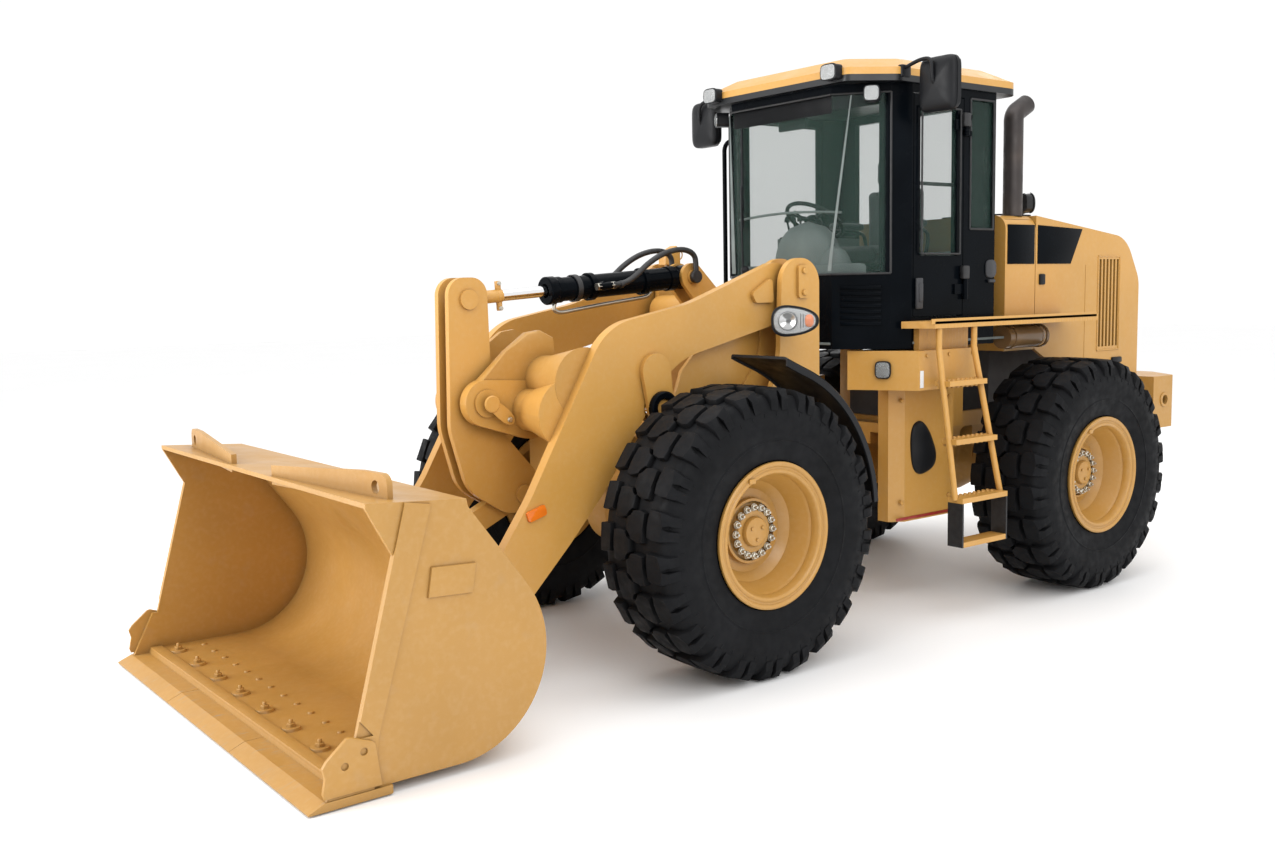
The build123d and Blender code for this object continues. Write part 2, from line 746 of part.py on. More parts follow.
def make_front_axle():
    axle = make_axle(FRONT_AXLE_X)
    pad_low = TOWER_INNER - 30
    pad_high = TOWER_INNER + TOWER_PLATE + 30
    pad = block(FRONT_AXLE_X - 120, FRONT_AXLE_X + 120, pad_low, pad_high, AXLE_Z, 900)
    return axle + both(pad)


FENDER_RADIUS = 850
FENDER_SHEET = 12
FENDER_INNER = TRACK / 2 - 270
FENDER_OUTER = TRACK / 2 + 150


def make_front_fenders():
    """Curved guards over the front tyres, each on a bracket from its tower."""
    centre = Pos(FRONT_AXLE_X, AXLE_Z)
    ring = Circle(FENDER_RADIUS + FENDER_SHEET) - Circle(FENDER_RADIUS)
    far = 2 * FENDER_RADIUS

    def spoke(angle):
        return (far * math.cos(math.radians(angle)), far * math.sin(math.radians(angle)))

    wedge = make_face(Polyline((0, 0), spoke(80), spoke(130), spoke(176), close=True))
    guard = extrude(
        Plane.XZ.offset(-FENDER_INNER) * centre * (ring & wedge), amount=-(FENDER_OUTER - FENDER_INNER)
    )
    bracket_z = AXLE_Z + FENDER_RADIUS * math.sin(math.radians(138)) + 10
    bracket_x = FRONT_AXLE_X + FENDER_RADIUS * math.cos(math.radians(138))
    bar_z = bracket_z - 40
    bracket = bar((bracket_x, TOWER_OUTER, bar_z), (bracket_x, FENDER_INNER + 120, bar_z), 24)
    foot_y = (FENDER_INNER + 10, FENDER_INNER + 110)
    bracket += block(bracket_x - 40, bracket_x + 20, *foot_y, bracket_z - 60, bracket_z - 8)
    return both(guard + bracket)


HEADLAMP = (FRONT_AXLE_X - 540, 790, 1760)


def make_headlamps():
    """Lamp housings on brackets from the towers, and their lenses."""
    x, y, z = HEADLAMP
    plan = [(x - 60, y - 70), (x + 35, y - 80), (x + 35, y + 75), (x - 20, y + 60)]
    body = deck(plan, z - 55, z + 55, [40, 0, 0, 40])
    arm = block(x - 90, x - 40, TOWER_OUTER, y - 20, z - 70, z - 56)
    arm += block(x - 90, x + 10, y - 60, y + 20, z - 70, z - 55)
    lens_plan = [(x + 35, y - 78), (x + 75, y - 60), (x + 62, y + 55), (x + 35, y + 73)]
    lens = deck(lens_plan, z - 50, z + 50, [0, 25, 25, 0])
    return both(body + arm), both(lens)


# Rear frame


def make_rear_frame():
    hitch_low = HITCH_LOW + HITCH_TONGUE + 2
    hitch_high = HITCH_HIGH - 2
    frame = upright((HITCH_X, 0), 105, hitch_low, hitch_high)
    frame += upright((HITCH_X, 0), HITCH_PIN_RADIUS, HITCH_LOW - 14, HITCH_HIGH + HITCH_TONGUE + 14)
    frame += upright((HITCH_X, 0), 75, HITCH_LOW - 26, HITCH_LOW - 2)
    frame += upright((HITCH_X, 0), 75, HITCH_HIGH + HITCH_TONGUE + 2, HITCH_HIGH + HITCH_TONGUE + 26)
    nose = deck(
        [(HITCH_X, -60), (HITCH_X, 60), (HITCH_X - 260, 190), (HITCH_X - 640, 190), (HITCH_X - 640, -190),
         (HITCH_X - 260, -190)],
        hitch_low + 20,
        hitch_high - 20,
    )
    frame += nose
    bulkhead = block(HITCH_X - 640, HITCH_X - 600, -RAIL_HALF, RAIL_HALF, hitch_low + 20, RAIL_HIGH)
    tail = REAR_AXLE_X - HOOD_LENGTH + 10
    rail_outline = [
        (HITCH_X - 600, hitch_low + 20),
        (HITCH_X - 600, RAIL_HIGH),
        (tail, RAIL_HIGH),
        (tail, RAIL_HIGH - 200),
        (REAR_AXLE_X - 340, RAIL_HIGH - 240),
        (REAR_AXLE_X - 240, RAIL_HIGH - 100),
        (REAR_AXLE_X + 240, RAIL_HIGH - 100),
        (REAR_AXLE_X + 340, hitch_low + 60),
    ]
    rail = slab(rail_outline, RAIL_HALF - RAIL_PLATE, RAIL_HALF, [0, 0, 0, 60, 80, 60, 60, 80])
    frame += bulkhead + both(rail)
    frame += block(tail, tail + 60, -RAIL_HALF, RAIL_HALF, RAIL_HIGH - 200, RAIL_HIGH)
    for x in (HITCH_X - 340, HITCH_X - 900):
        post = block(x - 60, x + 60, 380, SIDE_BOX_INNER, RAIL_HIGH - 60, CAB_FLOOR)
        arm = block(x - 60, x + 60, RAIL_HALF - RAIL_PLATE, SIDE_BOX_INNER, RAIL_HIGH - 60, RAIL_HIGH)
        frame += both(post + arm)
    frame += block(HITCH_X - 400, HITCH_X - 280, -RAIL_HALF, RAIL_HALF, hitch_high - 40, RAIL_HIGH)
    for low in (STEER_HEIGHT - STEER_EYE_HALF - SIDE_GAP - 26, STEER_HEIGHT + STEER_EYE_HALF + SIDE_GAP):
        lug = block(STEER_BASE[0] - 60, STEER_BASE[0] + 50, RAIL_HALF - 10, STEER_BASE[1] + 55, low, low + 26)
        frame += both(lug)
    steer_pin = upright(
        STEER_BASE, STEER_PIN_RADIUS, STEER_HEIGHT - STEER_EYE_HALF - 44, STEER_HEIGHT + STEER_EYE_HALF + 44
    )
    return frame + both(steer_pin)


def make_rear_axle():
    axle = make_axle(REAR_AXLE_X)
    trunnion = block(REAR_AXLE_X - 120, REAR_AXLE_X + 120, -RAIL_HALF, RAIL_HALF, AXLE_Z, RAIL_HIGH - 100)
    return axle + trunnion


def make_engine():
    """One plain block on feet between the rails."""
    rail_inner = RAIL_HALF - RAIL_PLATE
    block_low = RAIL_HIGH - 80
    engine = block(REAR_AXLE_X - HOOD_LENGTH + 260, REAR_AXLE_X - 130, -240, 240, block_low, 1950)
    for x in (REAR_AXLE_X - 900, REAR_AXLE_X - 330):
        engine += block(x, x + 120, -rail_inner, rail_inner, block_low, block_low + 60)
    return engine


def make_gearbox():
    """Gearbox between the rails, with the shaft to the rear axle."""
    box = block(HITCH_X - 1100, HITCH_X - 680, -240, 240, 620, 1350)
    box = fillet(box.edges().filter_by(Axis.Y), 60)
    rail_inner = RAIL_HALF - RAIL_PLATE
    box += block(HITCH_X - 980, HITCH_X - 800, -rail_inner, rail_inner, 900, 960)
    return box + bar((HITCH_X - 1095, 0, AXLE_Z), (REAR_AXLE_X + 226, 0, AXLE_Z), 45)


HOOD_HINGE = back(-HOOD_LENGTH - 40, HOOD_LOW + 43)
HOOD_HINGE_Y = 430
HINGE_LUG = 40


TIE_DOWN_RADIUS = 30
TIE_DOWN_PLATE = 60
TOW_PIN_RADIUS = 26


def make_counterweight():
    """A heavy block with a tow slot and pin at the back and a tie-down plate at each side."""
    rear_x = REAR_AXLE_X - REAR_OVERHANG
    corner = 520
    chamfer = 210
    length = REAR_OVERHANG - HOOD_LENGTH + 10
    points = [
        (rear_x, -corner),
        (rear_x, corner),
        (rear_x + chamfer, COUNTERWEIGHT_HALF),
        (rear_x + length, COUNTERWEIGHT_HALF),
        (rear_x + length, -COUNTERWEIGHT_HALF),
        (rear_x + chamfer, -COUNTERWEIGHT_HALF),
    ]
    top = HOOD_LOW - HOOD_GAP - 1
    weight = deck(points, COUNTERWEIGHT_LOW, top, [40, 40, 40, 0, 0, 40])
    plate_in = COUNTERWEIGHT_HALF - TIE_DOWN_PLATE
    pocket = block(rear_x + 250, rear_x + 410, plate_in - 110, plate_in, COUNTERWEIGHT_LOW - 5, 1160)
    hole = disc((rear_x + 330, 1080), TIE_DOWN_RADIUS, plate_in - 5, COUNTERWEIGHT_HALF + 5)
    tow = block(rear_x - 5, rear_x + 150, -90, 90, 960, 1080)
    tow_pin = upright((rear_x + 70, 0), TOW_PIN_RADIUS, COUNTERWEIGHT_LOW - 5, top + 5)
    weight = weight - both(pocket + hole) - tow - tow_pin
    ear_half = HINGE_LUG / 2 + 1
    for low in (HOOD_HINGE_Y - ear_half - 30, HOOD_HINGE_Y + ear_half):
        ear = strap(HOOD_HINGE, 28, (HOOD_HINGE[0], HOOD_LOW - 30), 40, low, low + 30)
        weight += both(ear)
    pin_half = ear_half + 30
    return weight + both(disc(HOOD_HINGE, 12, HOOD_HINGE_Y - pin_half, HOOD_HINGE_Y + pin_half))


# Cab

CAB_FRONT = HITCH_X + 200
CAB_CORNER = (HITCH_X - 15, 690)
CAB_PILLAR = (HITCH_X - 130, CAB_HALF)
CAB_REAR = HITCH_X - 1035
DOOR_HINGE_X = HITCH_X - 600
DOOR_FRONT_X = HITCH_X - 140
DOOR_AXIS = (DOOR_HINGE_X, CAB_HALF + 18)
DOOR_PIN = 8
DOOR_HINGES = (SILL + 160, WINDOW_HIGH - 160)


def cab_plan(inset):
    """The cab's plan outline, moved inwards."""
    half = CAB_HALF - inset
    lean = inset * 0.4
    pane = 430 - lean
    left = [
        (CAB_FRONT - inset, pane),
        (CAB_CORNER[0] - lean, CAB_CORNER[1] - inset),
        (CAB_PILLAR[0], half),
        (CAB_REAR + 130, half),
        (CAB_REAR + inset, half - 110),
    ]
    return left + [(x, -y) for x, y in reversed(left)]


def cab_ring(outer, inner, z_low, z_high):
    """The cab's wall, or a pane in it, between two insets."""
    return deck(cab_plan(outer), z_low, z_high) - deck(cab_plan(inner), z_low, z_high)


def window_cuts():
    """The openings in the cab's walls, as blocks that pass through them."""
    far = CAB_HALF + 300
    edge = CAB_WALL + 30
    front_cut = block(CAB_CORNER[0] + 10, CAB_FRONT + 200, -far, far, WINDOW_LOW, WINDOW_HIGH)
    rear_cut = block(CAB_REAR - 200, CAB_REAR + 90, -480, 480, WINDOW_LOW + 100, WINDOW_HIGH)
    quarter = block(CAB_REAR + 150, DOOR_HINGE_X - 60, 300, far, WINDOW_LOW + 260, WINDOW_HIGH)
    right = block(CAB_REAR + 150, CAB_PILLAR[0] - edge, -far, -300, WINDOW_LOW, WINDOW_HIGH)
    return front_cut, rear_cut, quarter, right


def make_cab_frame():
    frame = cab_ring(0, CAB_WALL, CAB_FLOOR + 50, CAB_TOP)
    for cut in window_cuts():
        frame -= cut
    frame -= block(DOOR_HINGE_X, DOOR_FRONT_X, 300, CAB_HALF + 300, SILL, WINDOW_HIGH)
    for z in DOOR_HINGES:
        frame += upright(DOOR_AXIS, DOOR_PIN, z - 62, z + 62)
        for low in (z - 62, z + 31):
            lug = upright(DOOR_AXIS, 16, low, low + 31)
            frame += lug + block(DOOR_AXIS[0] - 60, DOOR_AXIS[0], CAB_HALF - 2, CAB_HALF + 12, low, low + 31)
    return frame


def make_cab_glass():
    """The windshield, and the fixed panes on the other sides."""
    panes = cab_ring(12, 12 + GLASS, WINDOW_LOW, WINDOW_HIGH)
    cuts = window_cuts()
    windshield = panes & cuts[0]
    others = None
    for cut in cuts[1:]:
        pane = panes & cut
        others = pane if others is None else others + pane
    return windshield, others


def make_door():
    """The left door, hung on its rear edge, and its pane."""
    low = SILL + DOOR_GAP
    high = WINDOW_HIGH - DOOR_GAP
    rear_x = DOOR_HINGE_X + DOOR_GAP
    front_x = DOOR_FRONT_X - DOOR_GAP
    leaf = block(rear_x, front_x, CAB_HALF - CAB_WALL, CAB_HALF, low, high)
    border = 55
    window = block(rear_x + border, front_x - border, 300, CAB_HALF + 300, WINDOW_LOW + 100, high - border)
    glass = cab_ring(12, 12 + GLASS, low, high) & window
    leaf -= window
    for z in DOOR_HINGES:
        knuckle = upright(DOOR_AXIS, 16, z - 30, z + 30)
        knuckle += block(DOOR_AXIS[0], DOOR_AXIS[0] + 90, CAB_HALF, CAB_HALF + 12, z - 30, z + 30)
        leaf += knuckle - upright(DOOR_AXIS, DOOR_PIN + RUNNING_GAP, z - 40, z + 40)
    return leaf, glass


def roof_plan(inset):
    """The roof's plan outline, moved inwards."""
    half = CAB_HALF + 20 - inset
    front_x = CAB_FRONT + 60 - inset
    rear_x = CAB_REAR - 80 + inset
    corner_x = CAB_CORNER[0] + 20 - inset
    points = [
        (front_x, -600 + inset),
        (front_x, 600 - inset),
        (corner_x, half),
        (rear_x, half),
        (rear_x, -half),
        (corner_x, -half),
    ]
    return face_of(points, [60, 60, 80, 100, 100, 80])


def make_cab_roof():
    """A rim that overhangs the walls, under a crowned top."""
    rim_top = CAB_TOP + CAB_ROOF / 2
    rim = extrude(Plane.XY.offset(CAB_TOP) * roof_plan(0), amount=CAB_ROOF / 2)
    top = Plane.XY.offset(CAB_TOP + CAB_ROOF) * roof_plan(130)
    crown = loft([Plane.XY.offset(rim_top) * roof_plan(0), top])
    return rim + crown


def cushion(x_low, x_high, half, z_low, z_high, round_by):
    """A pad across the seat with rounded edges."""
    pad = block(x_low, x_high, -half, half, z_low, z_high)
    return fillet(pad.edges().filter_by(Axis.Y), round_by)


def make_seat():
    x = HITCH_X - 620
    base = block(x - 200, x + 180, -180, 180, CAB_FLOOR + 50, 2062)
    back_pad = cushion(x - 300, x - 180, 240, 2130, 2760, 40)
    return base + cushion(x - 240, x + 260, 250, 2060, 2180, 40) + back_pad


def make_steering():
    """Steering column with its wheel."""
    foot = (HITCH_X + 50, 0, CAB_FLOOR)
    neck = (HITCH_X - 60, 0, 2150)
    head = (HITCH_X - 100, 0, 2340)
    column = bar(foot, neck, 70) + bar(neck, head, 40)
    column -= block(HITCH_X - 200, HITCH_X + 300, -200, 200, CAB_FLOOR - 200, CAB_FLOOR + 50)
    wheel = Torus(190, 14) + Cylinder(45, 40)
    for turn in range(3):
        wheel += Rot(0, 0, 120 * turn) * Pos(110, 0, 0) * Box(160, 30, 12)
    return column + Plane(origin=head, x_dir=(0, 1, 0), z_dir=(-0.55, 0, 0.83)) * wheel


def make_console():
    x = HITCH_X - 620
    return block(x - 250, x + 300, -560, -330, CAB_FLOOR + 50, 2250)


SLOPE_INNER = (HITCH_X + 120, SIDE_BOX_INNER)
SLOPE_OUTER = (HITCH_X - 80, 850)


def make_cab_lamps():
    """Work lamps on the roof's front edge and under it, and on the slopes of the side boxes."""
    lamp = block(CAB_FRONT + 60, CAB_FRONT + 110, 450, 565, CAB_TOP + 10, CAB_TOP + 100)
    lower = block(CAB_CORNER[0] + 60, CAB_CORNER[0] + 130, 620, 700, CAB_TOP - 110, CAB_TOP - 20)
    lower += block(CAB_CORNER[0] + 70, CAB_CORNER[0] + 110, 640, 680, CAB_TOP - 20, CAB_TOP)
    foot = along(SLOPE_INNER, SLOPE_OUTER, 255)
    run = math.dist(SLOPE_INNER, SLOPE_OUTER)
    out = ((SLOPE_OUTER[1] - SLOPE_INNER[1]) / run, (SLOPE_INNER[0] - SLOPE_OUTER[0]) / run)
    length = 55
    face = (foot[0] + out[0] * length, foot[1] + out[1] * length)
    height = 1435
    side = bar((*foot, height), (*face, height), 42)
    return both(lamp + lower) + both(side)


def make_mirrors():
    """Mirrors on bent tube arms from the roof's corners."""
    x = HITCH_X - 65
    arm = pipe([(x, CAB_HALF + 20, CAB_TOP + 40), (x, 985, CAB_TOP + 40), (x, 985, CAB_TOP - 60)], 14, 60)
    head = block(x - 50, x + 20, 890, 1090, CAB_TOP - 200, CAB_TOP + 110)
    return both(arm + head)


def make_grab_rail():
    """Rail at the cab's right front corner."""
    x = (CAB_CORNER[0] + CAB_PILLAR[0]) / 2
    wall = -(CAB_CORNER[1] + CAB_PILLAR[1]) / 2 - 8.3
    points = [(x, wall, 1800), (x, wall - 80, 1800), (x, wall - 80, 2900), (x, wall, 2900)]
    return pipe(points, 15, 60)


# Rear body


def make_cowl():
    front_x = REAR_AXLE_X + 290
    rear_x = REAR_AXLE_X - 26
    outside = block(rear_x, front_x, -HOOD_HALF, HOOD_HALF, HOOD_LOW + 240, HOOD_TOP)
    outside = fillet(outside.edges().filter_by(Axis.X).sort_by(Axis.Z)[-2:], 90)
    side = HOOD_HALF - HOOD_SHEET
    inside = block(rear_x - 10, front_x - HOOD_SHEET, -side, side, HOOD_LOW + 200, HOOD_TOP - HOOD_SHEET)
    return outside - inside


HOOD_ROUNDS = [0, 0, 260, 200, 0, 0]


def hood_outline(inset):
    """The hood's side outline, moved inwards at the top and the back."""
    rear_x = REAR_AXLE_X - HOOD_LENGTH
    front_x = REAR_AXLE_X - 32
    return [
        (front_x, HOOD_LOW + 240),
        (front_x, HOOD_TOP - inset),
        (rear_x + 170 + inset, HOOD_TOP - 130 - inset),
        (rear_x + inset, HOOD_TOP - 420),
        (rear_x + inset, HOOD_LOW),
        (rear_x + 780, HOOD_LOW),
    ]


def make_hood():
    outside = slab(hood_outline(0), -HOOD_HALF, HOOD_HALF, HOOD_ROUNDS)
    side = HOOD_HALF - HOOD_SHEET
    inner_points = hood_outline(HOOD_SHEET)
    inner_points[0] = (inner_points[0][0] + 50, inner_points[0][1] - 50)
    inner_points[1] = (inner_points[1][0] + 50, inner_points[1][1])
    inner_points[4] = (inner_points[4][0], inner_points[4][1] - 50)
    inner_points[5] = (inner_points[5][0], inner_points[5][1] - 50)
    inside = slab(inner_points, -side, side, HOOD_ROUNDS)
    hood = outside - inside
    grille_x = REAR_AXLE_X - HOOD_LENGTH + 260
    for slot in range(6):
        x = grille_x + slot * 42
        hood -= block(x, x + 24, -HOOD_HALF - 10, HOOD_HALF + 10, 1480, 2080)
    rear_x = REAR_AXLE_X - HOOD_LENGTH
    for slot in range(7):
        z = 1420 + slot * 62
        hood -= block(rear_x - 10, rear_x + HOOD_SHEET + 10, -400, 400, z, z + 34)
    knuckle_low = HOOD_HINGE_Y - HINGE_LUG / 2
    knuckle_high = knuckle_low + HINGE_LUG
    knuckle_root = (HOOD_HINGE[0] + 52, HOOD_HINGE[1] + 40)
    knuckle = strap(HOOD_HINGE, 26, knuckle_root, 20, knuckle_low, knuckle_high)
    knuckle -= disc(HOOD_HINGE, 12 + RUNNING_GAP, knuckle_low - 5, knuckle_high + 5)
    return hood + both(knuckle)


def make_hood_cap():
    x = REAR_AXLE_X - 400
    plan = [(x - 200, -260), (x - 200, 260), (x + 200, 260), (x + 200, -260)]
    cap = deck(plan, HOOD_TOP - 60, HOOD_TOP + 40, 60)
    return cap - slab(hood_outline(0), -HOOD_HALF, HOOD_HALF, HOOD_ROUNDS)


def make_tail_lamps():
    """Lamps on the hood's rear face."""
    rear_x = REAR_AXLE_X - HOOD_LENGTH
    return both(block(rear_x - 22, rear_x, 470, 600, 1640, 1720))


def make_exhaust():
    x = REAR_AXLE_X + 70
    y = 560
    points = [(x, y, HOOD_TOP), (x, y, 3010), (x - 130, y, 3080)]
    return pipe(points, 62, 70)


def make_side_boxes():
    """The tank between the wheels and the box with a sloped front above it."""
    tank_rear = HITCH_X - 685
    tank = deck(
        [
            (HITCH_X - 150, SIDE_BOX_INNER),
            (HITCH_X - 150, 560),
            (HITCH_X - 230, 620),
            (tank_rear, 620),
            (tank_rear, SIDE_BOX_INNER),
        ],
        500,
        1320,
    )
    upper_rear = HITCH_X - 620
    upper = deck(
        [SLOPE_INNER, SLOPE_OUTER, (upper_rear, SLOPE_OUTER[1]), (upper_rear, SIDE_BOX_INNER)],
        1320,
        WALKWAY_LOW - 130,
    )
    return tank + upper


def make_walkway():
    front_x = HITCH_X - 40
    rear_x = REAR_AXLE_X - 320
    points = [
        (front_x, CAB_HALF + 2),
        (front_x - 60, WALKWAY_HALF),
        (rear_x, WALKWAY_HALF),
        (rear_x, HOOD_HALF + HOOD_GAP),
        (REAR_AXLE_X - 20, HOOD_HALF + HOOD_GAP),
        (REAR_AXLE_X - 20, HOOD_HALF),
        (CAB_REAR - 10, HOOD_HALF),
        (CAB_REAR - 10, CAB_HALF + 2),
    ]
    plate = deck(points, WALKWAY_LOW, WALKWAY_LOW + WALKWAY_PLATE)
    skirt = block(HITCH_X - 600, HITCH_X - 150, CAB_HALF + 2, CAB_HALF + 42, WALKWAY_LOW - 130, WALKWAY_LOW)
    return plate + skirt


STEP_HALF = 15
STEP_DEPTH = 105
STEP_LOW = 700             # the lowest step on the rails
HANGING_STEP = 445
STRAP = 12


def make_ladder():
    """Two bent rails with steps, hung from the left walkway, and a low step on two straps."""
    top_y = 925
    low_y = 1078
    front_x = (HITCH_X - 165, HITCH_X - 130)
    rear_x = (HITCH_X - 485, HITCH_X - 545)
    bend = WALKWAY_LOW - 120
    rails = None
    for x_top, x_low in (front_x, rear_x):
        points = [(x_top, top_y, WALKWAY_LOW), (x_top, top_y, bend), (x_low, low_y, STEP_LOW)]
        rail = pipe(points, 18, 40)
        rails = rail if rails is None else rails + rail
    rise = (bend - STEP_LOW) / 2.6
    for count in range(3):
        z = STEP_LOW + count * rise
        share = (bend - z) / (bend - STEP_LOW)
        y = top_y + (low_y - top_y) * share
        x_high = front_x[0] + (front_x[1] - front_x[0]) * share
        x_low = rear_x[0] + (rear_x[1] - rear_x[0]) * share
        rails += block(x_low, x_high, y - STEP_DEPTH / 2, y + STEP_DEPTH / 2, z - STEP_HALF, z + STEP_HALF)
    strap_y = (low_y - STEP_DEPTH / 2, low_y + STEP_DEPTH / 2)
    step_z = (HANGING_STEP - STEP_HALF, HANGING_STEP + STEP_HALF)
    hanging = block(rear_x[1] + STRAP, front_x[1] - STRAP, *strap_y, *step_z)
    straps = None
    for x in (rear_x[1], front_x[1] - STRAP):
        band = block(x, x + STRAP, *strap_y, HANGING_STEP - STEP_HALF, STEP_LOW - STEP_HALF)
        straps = band if straps is None else straps + band
    return rails + hanging, straps


DUCT_RADIUS = 70


def make_side_duct():
    """Air duct along the cowl's left side, turned down behind it."""
    y = HOOD_HALF + DUCT_RADIUS
    z = WALKWAY_LOW - DUCT_RADIUS - 20
    x = REAR_AXLE_X + 80
    duct = pipe([(x + 330, y, z), (x, y, z), (x - 110, y - 60, z)], DUCT_RADIUS, 120)
    wall = block(x - 400, x + 500, 0, HOOD_HALF, z - 200, z + 200)
    return duct - wall


os.makedirs("parts", exist_ok=True)
make_wheels()
save("bucket_shell", make_bucket_shell())
save("bucket_edge", make_bucket_edge())
save("lift_arms", make_lift_arms())
save("bell_crank", make_bell_crank())
save("tilt_link", make_tilt_link())
for name, shape in zip(("lift_barrels", "lift_rods"), make_lift_cylinders()):
    save(name, shape)
for name, shape in zip(("tilt_barrel", "tilt_rod"), make_tilt_cylinder()):
    save(name, shape)
save("tilt_hoses", make_tilt_hoses())
for name, shape in zip(("steer_barrel", "steer_rod"), make_steer_cylinder()):
    save(name + "_left", shape)
    save(name + "_right", mirror(shape, about=Plane.XZ))
save("front_frame", make_front_frame())
save("tower_plates", make_tower_plates())
save("tower_pins", make_tower_pins())
save("front_axle", make_front_axle())
save("front_fenders", make_front_fenders())
for name, shape in zip(("headlamps", "headlamp_lenses"), make_headlamps()):
    save(name, shape)
save("rear_frame", make_rear_frame())
save("rear_axle", make_rear_axle())
save("engine", make_engine())
save("gearbox", make_gearbox())
save("counterweight", make_counterweight())
save("cab_floor", deck(cab_plan(0), CAB_FLOOR, CAB_FLOOR + 50))
save("cab_frame", make_cab_frame())
save("cab_roof", make_cab_roof())
for name, shape in zip(("windshield", "cab_glass"), make_cab_glass()):
    save(name, shape)
for name, shape in zip(("door", "door_glass"), make_door()):
    save(name, shape)
save("seat", make_seat())
save("steering", make_steering())
save("console", make_console())
save("cab_lamps", make_cab_lamps())
save("mirrors", make_mirrors())
save("grab_rail", make_grab_rail())
save("cowl", make_cowl())
save("hood", make_hood())
save("hood_cap", make_hood_cap())
save("tail_lamps", make_tail_lamps())
save("exhaust", make_exhaust())
save("side_box_left", make_side_boxes())
save("side_box_right", mirror(make_side_boxes(), about=Plane.XZ))
save("walkway_left", make_walkway())
save("walkway_right", mirror(make_walkway(), about=Plane.XZ))
for name, shape in zip(("ladder", "ladder_straps"), make_ladder()):
    save(name, shape)
save("side_duct", make_side_duct())
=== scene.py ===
"""Dresses a wheel loader's jointed solids: paint, tyres, glass, lamps, seat and small fittings."""

import json
import math

import bmesh
import bpy
from bpy.props import FloatProperty, FloatVectorProperty, IntProperty, PointerProperty
from mathutils import Matrix, Vector


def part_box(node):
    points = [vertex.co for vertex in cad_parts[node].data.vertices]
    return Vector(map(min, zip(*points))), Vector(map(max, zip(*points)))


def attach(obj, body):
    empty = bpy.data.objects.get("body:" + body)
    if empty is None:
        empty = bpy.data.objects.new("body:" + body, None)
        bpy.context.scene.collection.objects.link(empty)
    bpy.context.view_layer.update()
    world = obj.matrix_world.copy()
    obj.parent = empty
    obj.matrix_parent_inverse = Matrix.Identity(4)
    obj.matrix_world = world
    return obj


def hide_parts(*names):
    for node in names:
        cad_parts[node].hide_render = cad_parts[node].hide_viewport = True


bl_info = {
    "name": "Wheel loader dressing",
    "version": (1, 0, 0),
    "blender": (4, 5, 0),
    "location": "3D View > Sidebar > Loader",
    "description": "Finishes and small parts for a jointed wheel loader",
    "category": "Object",
}

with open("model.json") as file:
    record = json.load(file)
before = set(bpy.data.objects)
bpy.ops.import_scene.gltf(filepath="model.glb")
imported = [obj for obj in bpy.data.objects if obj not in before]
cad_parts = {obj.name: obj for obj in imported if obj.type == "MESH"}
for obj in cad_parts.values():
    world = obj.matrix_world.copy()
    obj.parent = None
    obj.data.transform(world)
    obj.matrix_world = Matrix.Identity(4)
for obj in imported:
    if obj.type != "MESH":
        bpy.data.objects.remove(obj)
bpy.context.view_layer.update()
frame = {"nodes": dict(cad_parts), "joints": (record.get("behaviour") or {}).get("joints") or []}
JOINTS = {joint["name"]: Vector(joint["pos_m"]) for joint in frame["joints"] if "pos_m" in joint}
FRONT_X = JOINTS["roll_front_left"].x
REAR_X = JOINTS["roll_rear_left"].x
HITCH_X = JOINTS["steer"].x
AXLE_Z = JOINTS["roll_front_left"].z
WHEEL_Y = JOINTS["roll_front_left"].y
HANDS = {1: "left", -1: "right"}
SIDES = tuple(HANDS)
UP = (0, 0, 1)


# Forms


CREASE = math.radians(38)
TREAD_CREASE = math.radians(34)


def placed(point, direction):
    """A matrix that puts the local origin at a point and turns local Z to a direction."""
    turn = Vector(direction).to_track_quat("Z", "Y").to_matrix().to_4x4()
    return Matrix.Translation(Vector(point)) @ turn


def axes_at(point, across, up, forward):
    """A matrix that puts the local origin at a point and turns the local axes to three directions."""
    return Matrix.Translation(Vector(point)) @ Matrix((across, up, forward)).transposed().to_4x4()


def at(x, points, side=1):
    """Points given from a station along the machine, on one side of it."""
    return [Vector((x + run, side * y, z)) for run, y, z in points]


def on_side(x, y, outline):
    """Points of a side outline, given as (run, height) from a station along the machine."""
    return [Vector((x + run, y, z)) for run, z in outline]


def around(points):
    """Each point with the one after it, back to the first."""
    return zip(points, points[1:] + points[:1])


def turns(count, start=0.0):
    """Angles spaced evenly round a circle."""
    return [2 * math.pi * (step + start) / count for step in range(count)]


def round_point(radius, turn, height=0.0):
    """A point at a radius and an angle about local Z."""
    return Vector((radius * math.cos(turn), radius * math.sin(turn), height))


def forms(count):
    """Empty forms to build up."""
    return [bmesh.new() for form in range(count)]


def bevel_edges(bm, edges, width, segments=2):
    """Rounds edges of a form."""
    bmesh.ops.bevel(bm, geom=list(edges), offset=width, segments=segments, profile=0.5, affect="EDGES")


def add_block(bm, low, high, rounding=0.0, segments=2):
    """Adds a box between two corners with rounded edges."""
    low, high = Vector(low), Vector(high)
    matrix = Matrix.LocRotScale((low + high) / 2, None, high - low)
    made = bmesh.ops.create_cube(bm, size=1.0, matrix=matrix)["verts"]
    if rounding:
        bevel_edges(bm, {edge for vert in made for edge in vert.link_edges}, rounding, segments)


def add_blocks(bm, x, rows, side=1):
    """Adds boxes given as (corner, corner, rounding) from a station, on one side of the machine."""
    for first, second, rounding in rows:
        low, high = at(x, (first, second), side)
        low.y, high.y = min(low.y, high.y), max(low.y, high.y)
        add_block(bm, low, high, rounding)


